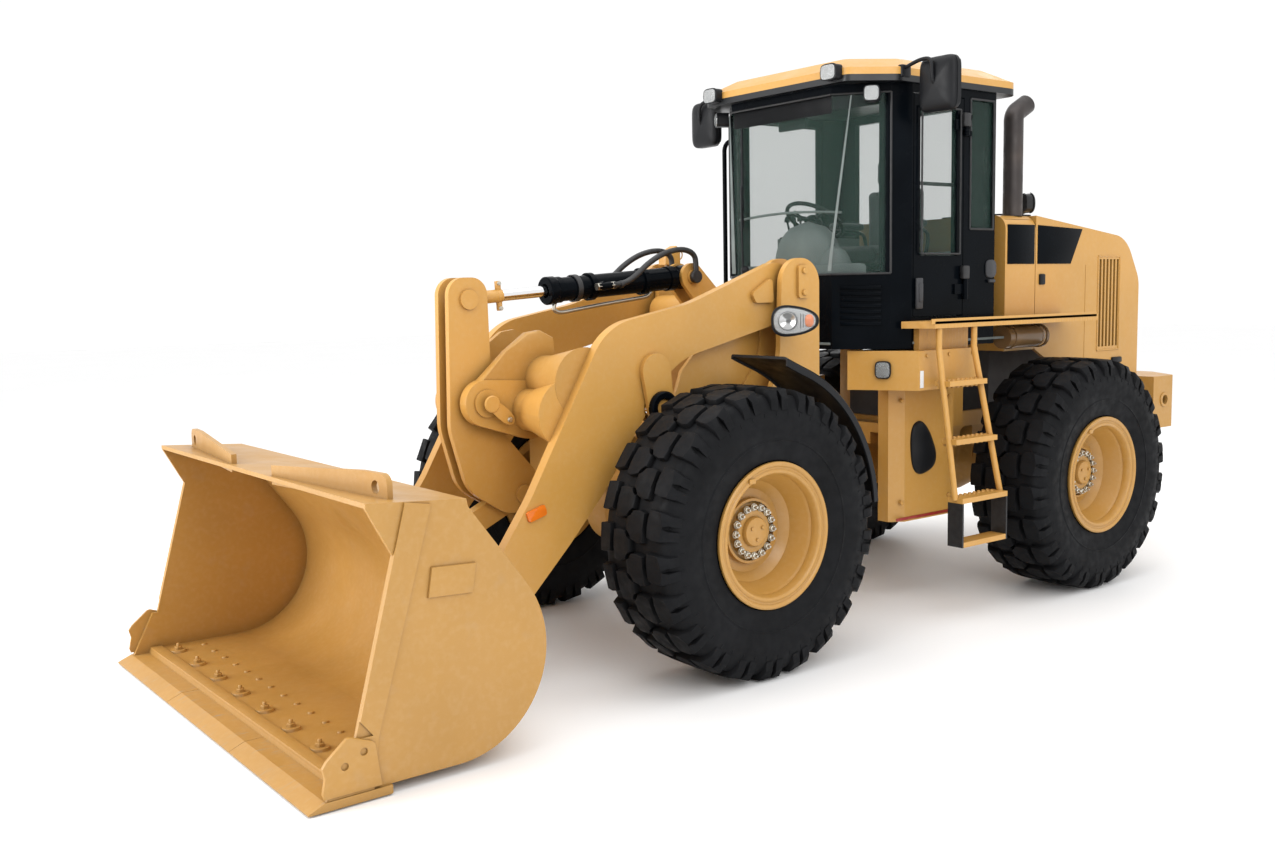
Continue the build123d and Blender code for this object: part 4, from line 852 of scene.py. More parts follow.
class LOADER_OT_tyres(bpy.types.Operator):
    """Makes the four tyres with their blocks, grooves and side rings."""

    bl_idname = "loader.tyres"
    bl_label = "Tyres"

    def execute(self, context):
        bm = bmesh.new()
        outside = TYRE_SIDE + [TYRE_CROWN] + [(radius, -across) for radius, across in reversed(TYRE_SIDE)]
        add_lathe(bm, outside, Matrix.Identity(4), 96, closed=True)
        for turn in turns(SIDE_RIBS):
            for side in SIDES:
                ends = [round_point(radius, turn, side * across) for radius, across in (RIB_INNER, RIB_OUTER)]
                add_rod(bm, *ends, 0.003, 6)
        add_tread(bm, context.scene.loader_sizes.tread_blocks)
        mesh = smooth_mesh("tyre", bm, TREAD_CREASE)
        for name, _, place in wheels():
            tyre = linked(f"treaded_tyre_{name}", mesh)
            tyre.matrix_world = place
            context.view_layer.update()
            settle(tyre, "tyre_rubber", f"wheel_{name}", [f"tyre_{name}"])
        return {"FINISHED"}


FLANGE = [
    (0.318, 0.19), (0.350, 0.212), (0.362, 0.224), (0.366, 0.234), (0.364, 0.243), (0.356, 0.248),
    (0.347, 0.246), (0.341, 0.239), (0.337, 0.233), (0.331, 0.234), (0.326, 0.240), (0.318, 0.243),
    (0.310, 0.240), (0.305, 0.232), (0.303, 0.222), (0.299, 0.214), (0.299, 0.19),
]
HUB_CAP = [(0.0, 0.112), (0.058, 0.112), (0.070, 0.108), (0.076, 0.098), (0.078, 0.08), (0.0, 0.08)]
HUB_COLLAR = [(0.15, 0.07), (0.163, 0.07), (0.166, 0.062), (0.166, 0.045), (0.15, 0.045)]
VALVE = [(0, 0.0), (0.02, 0.0), (0.02, 0.012), (0.009, 0.018), (0.009, 0.06), (0, 0.064)]
CAP_BOLT_RADIUS, CAP_FACE = 0.04, 0.112
STUD_RADIUS, STUD_FACE = 0.123, 0.086
STUD_WIDTH, STUD_END = 0.031, 0.010
LOCK_TURN = math.radians(118)
LOCK_RADIUS, LOCK_FACE = 0.322, 0.238
LOCK_HALF = Vector((0.02, 0.010, 0.012))
VALVE_RADIUS, VALVE_FACE = 0.262, 0.05


class LOADER_OT_wheel_fittings(bpy.types.Operator):
    """Adds flange rings, lock rings, hub caps, studs and valves to the wheels."""

    bl_idname = "loader.wheel_fittings"
    bl_label = "Wheel fittings"

    def execute(self, context):
        for name, side, place in wheels():
            out = (0, side, 0)
            rings, studs, valve = forms(3)
            add_lathe(rings, FLANGE, place, 96, closed=True)
            add_lathe(rings, HUB_CAP, place, 40)
            add_lathe(rings, HUB_COLLAR, place, 64, closed=True)
            for turn in turns(3, 0.25):
                add_bolt(rings, place @ round_point(CAP_BOLT_RADIUS, turn, CAP_FACE), out, 0.016)
            lock = place @ round_point(LOCK_RADIUS, LOCK_TURN, LOCK_FACE)
            add_block(rings, lock - LOCK_HALF, lock + LOCK_HALF, 0.004)
            for turn in turns(context.scene.loader_sizes.stud_count):
                stud = place @ round_point(STUD_RADIUS, turn, STUD_FACE)
                add_bolt(studs, stud, out, STUD_WIDTH, STUD_END)
            foot = place @ round_point(VALVE_RADIUS, LOCK_TURN, VALVE_FACE)
            add_lathe(valve, VALVE, placed(foot, out), 16)
            make_pieces(
                f"wheel_{name}",
                (f"flange_rings_{name}", rings, "rim_paint"),
                (f"wheel_studs_{name}", studs, "plated_steel"),
                (f"valve_{name}", valve, "moulded_black"),
            )
        return {"FINISHED"}


PAD_VOXEL = 0.009
PAD_CAP = 0.012
PAD_PRESSURE = 4.0
PAD_FRAMES = 20
# Each seat pad: name, two corners from the hitch, rounding, and the solid that it stands for.
SEAT_PADS = [
    ("seat_cushion", (-0.84, -0.235, 2.075), (-0.37, 0.235, 2.17), 0.035, ["seat"]),
    ("seat_back", (-0.905, -0.225, 2.16), (-0.815, 0.225, 2.56), 0.035, []),
    ("seat_head", (-0.905, -0.15, 2.59), (-0.83, 0.15, 2.75), 0.03, []),
    ("arm_rest_left", (-0.83, 0.24, 2.30), (-0.53, 0.30, 2.345), 0.018, []),
    ("arm_rest_right", (-0.83, -0.30, 2.30), (-0.53, -0.24, 2.345), 0.018, []),
]
SEAT_BASE = [
    ((-0.82, -0.18, 1.611), (-0.44, 0.18, 1.665), 0.01),
    ((-0.84, -0.2, 2.04), (-0.40, 0.2, 2.068), 0.008),
]
BELLOWS_LOW, BELLOWS_PITCH, BELLOWS_FOLDS = 1.66, 0.055, 7
ARM_TUBE = [(-0.86, 0.235, 2.08), (-0.87, 0.27, 2.2), (-0.84, 0.27, 2.30), (-0.6, 0.27, 2.298)]
HEAD_ROD = [(-0.868, 0.07, 2.5), (-0.868, 0.07, 2.64)]
SEAT_PIPING = [
    [(-0.83, 0.236, 2.125), (-0.6, 0.247, 2.125), (-0.38, 0.236, 2.125)],
    [(-0.812, 0.12, 2.19), (-0.806, 0.12, 2.35), (-0.812, 0.12, 2.54)],
]


def swell(piece):
    """Swells a pad with a cloth simulation and keeps the shape that it settles to."""
    remesh = piece.modifiers.new("even_mesh", "REMESH")
    remesh.mode = "VOXEL"
    remesh.voxel_size = PAD_VOXEL
    graph = bpy.context.evaluated_depsgraph_get()
    piece.data = bpy.data.meshes.new_from_object(piece.evaluated_get(graph))
    piece.modifiers.clear()
    rest = [vert.co.copy() for vert in piece.data.vertices]
    cloth = piece.modifiers.new("swell", "CLOTH")
    cloth.settings.use_pressure = True
    cloth.settings.uniform_pressure_force = PAD_PRESSURE
    cloth.settings.effector_weights.gravity = 0.0
    cloth.point_cache.frame_start = 1
    cloth.point_cache.frame_end = PAD_FRAMES
    for moment in range(1, PAD_FRAMES + 1):
        bpy.context.scene.frame_set(moment)
    graph = bpy.context.evaluated_depsgraph_get()
    shaped = bpy.data.meshes.new_from_object(piece.evaluated_get(graph))
    piece.modifiers.clear()
    for vert, start in zip(shaped.vertices, rest):
        move = vert.co - start
        if move.length > PAD_CAP:
            vert.co = start + move.normalized() * PAD_CAP
    piece.data = shaped
    bpy.context.scene.frame_set(1)
    for polygon in piece.data.polygons:
        polygon.use_smooth = True


class LOADER_OT_seat(bpy.types.Operator):
    """Makes the driver's seat with its pads, piping, bellows and arm rests."""

    bl_idname = "loader.seat"
    bl_label = "Seat"

    def execute(self, context):
        x = HITCH_X
        for name, low, high, rounding, replaces in SEAT_PADS:
            bm = bmesh.new()
            add_block(bm, *at(x, (low, high)), rounding, 4)
            bmesh.ops.recalc_face_normals(bm, faces=bm.faces)
            pad = linked(name, mesh_of(name, bm))
            swell(pad)
            settle(pad, "seat_cloth", "rear_frame", replaces)
        stand, piping = forms(2)
        for step in range(BELLOWS_FOLDS):
            z = BELLOWS_LOW + step * BELLOWS_PITCH
            add_block(stand, (x - 0.80, -0.165, z), (x - 0.46, 0.165, z + 0.045), 0.02, 3)
            add_block(stand, (x - 0.785, -0.15, z + 0.04), (x - 0.475, 0.15, z + 0.06), 0.006)
        add_blocks(stand, x, SEAT_BASE)
        for side in SIDES:
            add_pipe(stand, at(x, ARM_TUBE, side), 0.012)
            add_rod(stand, *at(x, HEAD_ROD, side), 0.008)
            for line in SEAT_PIPING:
                add_pipe(piping, at(x, line, side), 0.004)
        make_pieces(
            "rear_frame", ("seat_stand", stand, "moulded_black"), ("seat_piping", piping, "hose_rubber"),
        )
        return {"FINISHED"}


DASH_TOP = [(-0.02, -0.5, 2.005), (-0.02, 0.5, 2.005), (0.16, 0.40, 2.005), (0.16, -0.40, 2.005)]
WHEEL_HUB, COLUMN_FOOT = (-0.10, 0, 2.34), (0.05, 0, 1.612)
WHEEL_LEAN = Vector((-0.55, 0, 0.83)).normalized()
WHEEL_RADIUS, SPOKE_REACH = 0.185, 0.18
SPOKE_TURNS = (0.5, math.pi - 0.5, 1.5 * math.pi)
WHEEL_STALK = [(0, 0.03, -0.05), (0.02, 0.16, -0.04)]
LEVER = [Vector((0, 0, 0)), Vector((0.01, 0, 0.06)), Vector((0.03, 0, 0.12))]
LEVER_KNOB = Vector((0.03, 0, 0.11))
# Two pedals, the console's lid and the inside mirror.
CAB_BLOCKS = [
    ((0.02, -0.29, 1.63), (0.10, -0.19, 1.78), 0.012),
    ((0.02, 0.17, 1.63), (0.10, 0.27, 1.78), 0.012),
    ((-0.84, -0.555, 2.248), (-0.33, -0.335, 2.262), 0.006),
    ((-0.045, -0.24, 2.90), (-0.02, 0.0, 2.98), 0.01),
]
MIRROR_STALK = [(-0.03, -0.12, 3.06), (-0.03, -0.12, 2.97)]
DASH_RAIL = [(0.13, 0.44, 2.36), (0.15, 0.2, 2.38), (0.15, 0, 2.38)]
BACK_LINING = [((-1.02, -0.6, 1.62), (-0.98, 0.6, 2.14), 0.012)]


class LOADER_OT_cab_inside(bpy.types.Operator):
    """Adds the dash, instrument hood, steering wheel, levers, pedals and inside mirror."""

    bl_idname = "loader.cab_inside"
    bl_label = "Cab inside"

    def execute(self, context):
        x = HITCH_X
        dash, wheel, levers, lining = forms(4)
        add_plate(dash, at(x, DASH_TOP), (0, 0, 0.06), 0.02)
        add_dome(dash, Matrix.Translation((x + 0.02, 0.06, 2.04)), 0.12, 0.24, 0.29, 2.8, 8, 36)
        add_dome(dash, Matrix.Translation((x + 0.04, 0.30, 1.9)), 0.09, 0.13, 0.28, 2.6, 7, 28)
        hub, foot = at(x, [WHEEL_HUB, COLUMN_FOOT])
        place = placed(hub, WHEEL_LEAN)
        for start, end in around([place @ round_point(WHEEL_RADIUS, turn) for turn in turns(32)]):
            add_rod(wheel, start, end, 0.013, 10)
        for turn in SPOKE_TURNS:
            add_rod(wheel, hub, place @ round_point(SPOKE_REACH, turn), 0.010, 10)
        add_dome(wheel, placed(hub - WHEEL_LEAN * 0.02, WHEEL_LEAN), 0.055, 0.055, 0.05, 2.2, 5, 24)
        add_rod(wheel, hub, foot, 0.038, 20)
        add_dome(wheel, Matrix.Translation(foot), 0.10, 0.11, 0.22, 2.4, 6, 28)
        for side in SIDES:
            add_rod(wheel, *(place @ point for point in at(0, WHEEL_STALK, side)), 0.007, 10)
        for step in range(3):
            foot = Vector((x - 0.40, -0.40 - 0.06 * step, 2.25))
            add_pipe(levers, [foot + point for point in LEVER], 0.007)
            add_dome(levers, Matrix.Translation(foot + LEVER_KNOB), 0.018, 0.018, 0.045, 2.2, 4, 16)
        add_blocks(levers, x, CAB_BLOCKS)
        add_rod(levers, *at(x, MIRROR_STALK), 0.008)
        for side in SIDES:
            add_pipe(lining, at(x, DASH_RAIL, side), 0.008)
        add_blocks(lining, x, BACK_LINING)
        make_pieces(
            "rear_frame",
            ("dash_cover", dash, "cab_plastic"),
            ("steering_wheel", wheel, "moulded_black", "steering"),
            ("levers_and_pedals", levers, "moulded_black"),
            ("cab_lining", lining, "cab_plastic"),
        )
        return {"FINISHED"}


CAB_FRONT = HITCH_X + 0.2
PANE_LOW, PANE_HIGH = 2.0, 3.03
PANE_SIDE = 0.751
SEAL = 0.007
WIPER_ARM = [(0.022, -0.31, 2.04), (0.03, -0.315, 2.3), (0.018, -0.325, 2.56)]
WIPER_BLADE = [((0.003, -0.335, 2.30), (0.016, -0.318, 2.92), 0.003)]
SUN_BAND = [((-0.016, -0.42, 2.925), (-0.012, 0.42, PANE_HIGH), 0.001)]
SUN_BAND_SIDE = [
    (0.186, 0.425, 2.94), (-0.02, 0.66, 2.97), (-0.02, 0.66, PANE_HIGH), (0.186, 0.425, PANE_HIGH),
]
# Front end and sill of the fixed side pane, behind the door and on the side that has none.
SIDE_PANE = {1: (-0.66, 2.26), -1: (-0.205, PANE_LOW)}
CORNER_LINE = [
    (0.003, 0.40, 2.02), (0.003, 0.43, 2.02), (0.001, 0.436, 2.1), (-0.07, 0.525, 3.02),
    (-0.067, 0.517, 3.02),
]
LOUVRES, LOUVRE_LOW, LOUVRE_PITCH, LOUVRE_HEIGHT = 7, 1.70, 0.035, 0.022
SILL_LINE = [((-1.02, 0.748, 1.585), (-0.14, 0.756, 1.60), 0.003)]
FRONT_LINE = [((-0.002, -0.42, 1.585), (0.005, 0.42, 1.60), 0.003)]
DOOR_HANDLE = [
    ((-0.205, 0.756, 1.79), (-0.155, 0.776, 1.97), 0.006),
    ((-0.195, 0.770, 1.83), (-0.165, 0.786, 1.94), 0.006),
]
DOOR_HINGES = [
    ((-0.62, 0.756, 1.96), (-0.56, 0.788, 2.04), 0.008),
    ((-0.62, 0.756, 2.86), (-0.56, 0.788, 2.94), 0.008),
]
DOOR_RAILS = [
    [(-0.55, 0.715, 2.52), (-0.19, 0.715, 2.52)],
    [(-0.19, 0.715, 2.3), (-0.19, 0.715, 2.52)],
]
DOOR_PANE = [(-0.545, 2.11), (-0.195, 2.11), (-0.195, 2.955), (-0.545, 2.955)]
LATCH_BAR = [((-0.895, 0.754, 1.935), (-0.835, 0.77, 1.955), 0.005)]


class LOADER_OT_cab_outside(bpy.types.Operator):
    """Adds the wiper, sun band, pane lines, seals, handles, hinges and louvres of the cab."""

    bl_idname = "loader.cab_outside"
    bl_label = "Cab outside"

    def execute(self, context):
        x = HITCH_X
        wiper, band, seals, lines, louvres, handle, door_trim, latch = forms(8)
        add_dome(wiper, placed((CAB_FRONT + 0.002, -0.31, 2.04), (1, 0, 0)), 0.03, 0.03, 0.03, 2.2, 4, 20)
        add_pipe(wiper, at(CAB_FRONT, WIPER_ARM), 0.007)
        add_blocks(wiper, CAB_FRONT, WIPER_BLADE)
        add_blocks(band, CAB_FRONT, SUN_BAND)
        for side in SIDES:
            add_plate(band, at(x, SUN_BAND_SIDE, side), (-0.003, 0, 0))
            ends = []
            for z in (PANE_LOW, PANE_HIGH):
                middle, corner, end = at(x, [(0.201, 0, z), (0.201, 0.43, z), (-0.015, 0.692, z)], side)
                add_pipe(seals, (middle, corner), SEAL)
                add_pipe(seals, (corner, end), SEAL)
                ends.append(end)
            add_pipe(seals, ends, SEAL)
            run, sill = SIDE_PANE[side]
            pane = [(-0.885, sill), (run, sill), (run, PANE_HIGH), (-0.885, PANE_HIGH)]
            add_frame(seals, on_side(x, side * PANE_SIDE, pane), SEAL)
            add_plate(lines, at(CAB_FRONT, CORNER_LINE, side), (0.003, side * 0.002, 0))
            add_blocks(lines, x, SILL_LINE, side)
        add_blocks(lines, CAB_FRONT, FRONT_LINE)
        self.add_louvres(louvres)
        add_blocks(handle, x, DOOR_HANDLE)
        add_blocks(door_trim, x, DOOR_HINGES)
        for ends in DOOR_RAILS:
            add_rod(door_trim, *at(x, ends), 0.011, 14)
        add_frame(door_trim, on_side(x, 0.769, DOOR_PANE), 0.006)
        disc = oval_outline((x - 0.865, PANE_SIDE, 2.02), (1, 0, 0), UP, 0.05, 0.055, 3.2)
        add_plate(latch, disc, (0, 0.008, 0), 0.004)
        add_blocks(latch, x, LATCH_BAR)
        make_pieces(
            "rear_frame",
            ("wiper", wiper, "moulded_black"),
            ("sun_band", band, "moulded_black"),
            ("pane_seals", seals, "hose_rubber"),
            ("pane_lines", lines, "cab_plastic"),
            ("corner_louvres", louvres, "gloss_black"),
        )
        make_pieces(
            "door",
            ("door_handle", handle, "handle_grey"),
            ("door_seal_and_hinges", door_trim, "hose_rubber"),
        )
        make_pieces("rear_frame", ("cab_latch", latch, "handle_grey"))
        return {"FINISHED"}

    def add_louvres(self, louvres):
        """Adds louvres to the cab's lower corner panels."""
        start, end = at(HITCH_X, [(0.2, 0.43, 0), (-0.015, 0.69, 0)])
        along = (end - start).normalized()
        outward = Vector((along.y, -along.x, 0))
        start, end = start + along * 0.05 + outward * 0.001, end - along * 0.05 + outward * 0.001
        for step in range(LOUVRES):
            low = LOUVRE_LOW + LOUVRE_PITCH * step
            high = low + LOUVRE_HEIGHT
            slat = [(*start.xy, low), (*end.xy, low), (*end.xy, high), (*start.xy, high)]
            for side in SIDES:
                push = Vector((outward.x, side * outward.y, 0))
                add_plate(louvres, at(0, slat, side), push * 0.009, 0.004)


LAMP_POWER = 4
HEAD_LAMP_Y, TAIL_LAMP_Y = 0.79, 0.535
TEAR_POWER, TEAR_TAPER = 2.5, 0.25
LAMP_DISH = [(0.0, 0.004), (0.018, 0.006), (0.04, 0.02), (0.046, 0.021), (0.048, 0.0)]
DISH_RIM = [(0.046, 0.018), (0.051, 0.018), (0.051, 0.0), (0.046, 0.0)]
DISH_BULB = [(0.0, 0.017), (0.008, 0.015), (0.01, 0.004), (0.0, 0.004)]


def add_lamp(shell, bowl, glass, middle, forward, half_wide, half_high, depth):
    """Adds a rounded lamp: a housing with its bezel, a bright bowl and a bowed lens."""
    forward = Vector(forward).normalized()
    across = Vector(UP).cross(forward).normalized()
    up = forward.cross(across)
    middle = Vector(middle)

    def outline(shift, share):
        halves = (half_wide * share, half_high * share)
        return oval_outline(middle + forward * shift, across, up, *halves, LAMP_POWER)

    add_plate(shell, outline(-depth, 1.0), forward * depth, 0.006)
    add_plate(shell, outline(0.0, 1.04), forward * 0.008, 0.003)
    add_plate(bowl, outline(0.008, 0.88), forward * 0.002)
    place = axes_at(middle + forward * 0.0105, across, up, forward)
    add_dome(glass, place, half_wide * 0.9, half_high * 0.9, 0.012, LAMP_POWER, 5, 28)


def tear(base, turn, half_x, half_y):
    """Outline of a tear shape that narrows along its length."""
    points = oval_outline((0, 0, 0), (1, 0, 0), (0, 1, 0), half_x, half_y, TEAR_POWER, 36)
    return [base + turn @ Vector((p.x, p.y * (1 - TEAR_TAPER * p.x / half_x), 0)) for p in points]


class LOADER_OT_lamps(bpy.types.Operator):
    """Makes the head lamps, the cab's work lamps, the side lamps and the tail lamps."""

    bl_idname = "loader.lamps"
    bl_label = "Lamps"

    def execute(self, context):
        x = HITCH_X
        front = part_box("cab_roof")[1][0]
        lamp = forms(3)
        for side in SIDES:
            add_lamp(*lamp, (front + 0.045, side * 0.51, 3.135), (1, 0, 0), 0.06, 0.045, 0.05)
            add_lamp(*lamp, (x + 0.115, side * 0.66, 3.015), (0.8, side * 0.6, 0), 0.045, 0.045, 0.07)
            add_lamp(*lamp, (x + 0.03, side * 0.675, 1.44), (0.88, side * 0.475, 0), 0.045, 0.05, 0.04)
        make_pieces(
            "rear_frame",
            ("work_lamp_shells", lamp[0], "moulded_black", "cab_lamps"),
            ("work_lamp_bowls", lamp[1], "lamp_silver"),
            ("work_lamp_glasses", lamp[2], "clear_lens"),
        )
        self.head_lamps()
        rims, glasses = forms(2)
        low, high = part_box("tail_lamps")
        for side in SIDES:
            middle = Vector((high[0] - 0.012, side * TAIL_LAMP_Y, (low[2] + high[2]) / 2))
            rim = oval_outline(middle, (0, 1, 0), UP, 0.075, 0.048, LAMP_POWER)
            add_plate(rims, rim, (-0.012, 0, 0), 0.004)
            place = axes_at(middle - Vector((0.0125, 0, 0)), (0, 1, 0), UP, (-1, 0, 0))
            add_dome(glasses, place, 0.066, 0.04, 0.014, LAMP_POWER, 5, 28)
        make_pieces(
            "hood",
            ("tail_lamp_rims", rims, "moulded_black"),
            ("tail_lamp_glasses", glasses, "red_lens", "tail_lamps"),
        )
        return {"FINISHED"}

    def head_lamps(self):
        """Makes tear-shaped head lamps that wrap round to the side, each with an orange end."""
        shell, bowl, rims, glass, amber = forms(5)
        low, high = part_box("headlamps")
        x, z = (low[0] + high[0]) / 2, (low[2] + high[2]) / 2
        swelling = (TEAR_POWER, 7, 36, TEAR_TAPER)
        for side in SIDES:
            forward = Vector((0.80, side * 0.60, 0)).normalized()
            across = Vector(UP).cross(forward).normalized()
            tail = across if across.y * side > 0 else -across
            turn = axes_at((0, 0, 0), tail, forward.cross(tail), forward)
            base = Vector((x + 0.01, side * HEAD_LAMP_Y, z))
            face = base + forward * 0.0142
            lens_face = base + forward * 0.0145
            back = axes_at(base, tail, (-forward).cross(tail), -forward)
            add_dome(shell, back, 0.125, 0.078, 0.085, *swelling)
            add_plate(shell, tear(base, turn, 0.128, 0.08), forward * 0.012, 0.004)
            add_plate(bowl, tear(base + forward * 0.0122, turn, 0.11, 0.064), forward * 0.002)
            add_dome(glass, Matrix.Translation(lens_face) @ turn, 0.114, 0.068, 0.045, *swelling)
            marker = Matrix.Translation(face + tail * 0.078) @ turn
            add_dome(amber, marker, 0.024, 0.034, 0.02, TEAR_POWER, 5, 24)
            root = Vector((base.x - 0.075, side * 0.62, z - 0.045))
            add_rod(shell, base - forward * 0.06 - Vector((0, 0, 0.02)), root, 0.018, 14)
            dish = Matrix.Translation(face - tail * 0.035) @ turn
            add_lathe(bowl, LAMP_DISH, dish, 36)
            add_lathe(rims, DISH_RIM, dish, 36, closed=True)
            add_lathe(rims, DISH_BULB, dish, 20)
            for step in range(4):
                rib = lens_face + tail * (0.032 + 0.014 * step)
                half = Vector((0, 0, 0.04 - 0.005 * step))
                add_rod(rims, rib - half, rib + half, 0.0025, 8)
        make_pieces(
            "front_frame",
            ("head_lamp_shells", shell, "moulded_black", "headlamps"),
            ("head_lamp_bowls", bowl, "lamp_silver"),
            ("head_lamp_rims", rims, "handle_grey"),
            ("head_lamp_glasses", glass, "clear_lens", "headlamp_lenses"),
            ("head_lamp_markers", amber, "amber_lens"),
        )


MIRROR_Y = 0.99
MIRROR_POWER, MIRROR_POINTS = 6.0, 48
MIRROR_FLOOR, MIRROR_HALF = 2.6, 0.15
MIRROR_ARM = [
    (0.02, 0.70, 3.13), (0.03, 0.80, 3.16), (0.04, 0.9, 3.18), (0.055, 0.985, 3.17), (0.06, MIRROR_Y, 3.06),
]
MIRROR_FOOT = [((-0.02, 0.74, 3.10), (0.06, 0.78, 3.17), 0.01)]


class LOADER_OT_mirrors(bpy.types.Operator):
    """Makes the rear-view mirrors on their bent arms."""

    bl_idname = "loader.mirrors"
    bl_label = "Mirrors"

    def execute(self, context):
        shell, face = forms(2)
        low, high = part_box("mirrors")
        x = HITCH_X - 0.065
        reach = (high[2] - max(low[2], MIRROR_FLOOR)) / 2
        z = high[2] - reach
        half = min(MIRROR_HALF, reach)
        squareness = (MIRROR_POWER, MIRROR_POINTS)
        for side in SIDES:
            middle = Vector((x, side * MIRROR_Y, z))
            place = axes_at(middle, (0, 1, 0), UP, (1, 0, 0))
            add_dome(shell, place, 0.126, half, 0.05, MIRROR_POWER, 7, MIRROR_POINTS)
            rim = oval_outline(middle, (0, 1, 0), UP, 0.13, half, *squareness)
            add_plate(shell, rim, (-0.03, 0, 0), 0.01)
            middle.x -= 0.03
            pane = oval_outline(middle, (0, 1, 0), UP, 0.116, half - 0.014, *squareness)
            add_plate(face, pane, (-0.003, 0, 0))
            add_pipe(shell, at(x, MIRROR_ARM + [(0.04, MIRROR_Y, z)], side), 0.011, 10)
            knuckle = Vector((x + 0.02, side * 0.995, z))
            add_rod(shell, knuckle - Vector((0, 0.02, 0)), knuckle + Vector((0, 0.02, 0)), 0.025, 18, 0.006)
            add_blocks(shell, x, MIRROR_FOOT, side)
        make_pieces(
            "rear_frame",
            ("mirror_shells", shell, "moulded_black", "mirrors"),
            ("mirror_faces", face, "mirror_face"),
        )
        return {"FINISHED"}


HOOD_SIDE = 0.67
COWL_BAND = [(0.27, 2.05), (0.27, 2.30), (-0.015, 2.30), (-0.015, 2.05)]
HOOD_BAND = [(-0.05, 2.05), (-0.05, 2.30), (-0.55, 2.28), (-0.42, 2.05)]
SIDE_SCREEN = [((-1.03, 0.633, 1.44), (-0.74, 0.637, 2.11), 0.0)]
GRILLE_EDGE = [(-1.015, 1.455), (-0.75, 1.455), (-0.75, 2.10), (-1.015, 2.10)]
PANEL_SEAM = [((-0.603, 0.668, 1.28), (-0.597, 0.672, 2.04), 0.0)]
HOOD_LATCHES = [
    ((-0.13, 0.658, 1.365), (-0.07, 0.682, 1.435), 0.008),
    ((-0.13, 0.658, 1.915), (-0.07, 0.682, 1.985), 0.008),
    ((-1.05, 0.656, 1.36), (-0.93, 0.684, 1.40), 0.008),
]
GRILLE_LOW, GRILLE_HIGH, GRILLE_HALF = 1.40, 1.85, 0.43
REAR_SCREEN = [((0.035, -GRILLE_HALF, GRILLE_LOW), (0.039, GRILLE_HALF, GRILLE_HIGH), 0.0)]
REAR_SLAT = [(0.006, 0.012), (0.03, 0.024), (0.032, 0.018), (0.008, 0.004)]
SLATS, SLAT_LOW, SLAT_PITCH = 11, 1.405, 0.0405
REAR_BARS = [
    ((0.012, y - 0.008, GRILLE_LOW), (0.03, y + 0.008, GRILLE_HIGH), 0.003) for y in (-0.215, 0.0, 0.215)
]
REAR_EDGE = [(0, -0.44, 1.392), (0, 0.44, 1.392), (0, 0.44, 1.858), (0, -0.44, 1.858)]
LAMP_GUARD = [(0.01, -0.066), (-0.045, -0.06), (-0.045, 0.06), (0.01, 0.066)]


class LOADER_OT_hood_trim(bpy.types.Operator):
    """Adds the plain dark panels, seams, grille screens, latches and work lamp of the hood."""

    bl_idname = "loader.hood_trim"
    bl_label = "Hood trim"

    def execute(self, context):
        x = REAR_X
        cowl_band, hood_band, screens, seams, slats, latches, shell, bowl, glass = forms(9)
        for side in SIDES:
            y = side * (HOOD_SIDE + 0.0005)
            for band, outline in ((cowl_band, COWL_BAND), (hood_band, HOOD_BAND)):
                add_plate(band, on_side(x, y, outline), (0, side * 0.003, 0), 0.001)
            add_blocks(screens, x, SIDE_SCREEN, side)
            add_frame(seams, on_side(x, side * HOOD_SIDE, GRILLE_EDGE), 0.006)
            add_blocks(seams, x, PANEL_SEAM, side)
            add_blocks(latches, x, HOOD_LATCHES, side)
        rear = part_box("hood")[0][0]
        add_blocks(screens, rear, REAR_SCREEN)
        for step in range(SLATS):
            z = SLAT_LOW + SLAT_PITCH * step
            outline = on_side(rear, -GRILLE_HALF, [(run, z + rise) for run, rise in REAR_SLAT])
            add_plate(slats, outline, (0, 2 * GRILLE_HALF, 0), 0.002)
        add_blocks(slats, rear, REAR_BARS)
        for start, end in around(at(rear, REAR_EDGE)):
            add_rod(slats, start, end, 0.011, 12)
        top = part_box("hood")[1][2]
        spot = Vector((x - 0.2, 0.46, top + 0.095))
        add_lamp(shell, bowl, glass, spot, (-1, 0, 0), 0.072, 0.062, 0.075)
        stalk = spot.x + 0.03
        add_rod(shell, (stalk, spot.y, top - 0.01), (stalk, spot.y, spot.z - 0.03), 0.012)
        for y in (-0.05, 0.0, 0.05):
            guard = [spot + Vector((run, y, rise)) for run, rise in LAMP_GUARD]
            add_pipe(shell, guard, 0.003)
        make_pieces("rear_frame", ("cowl_band", cowl_band, "gloss_black"))
        make_pieces(
            "hood",
            ("hood_band", hood_band, "gloss_black"),
            ("grille_screens", screens, "dark_mesh"),
            ("hood_seams", seams, "yellow_paint"),
            ("rear_slats", slats, "moulded_black"),
            ("hood_latches", latches, "moulded_black"),
            ("rear_work_lamp_shell", shell, "moulded_black"),
            ("rear_work_lamp_bowl", bowl, "lamp_silver"),
            ("rear_work_lamp_glass", glass, "clear_lens"),
        )
        return {"FINISHED"}


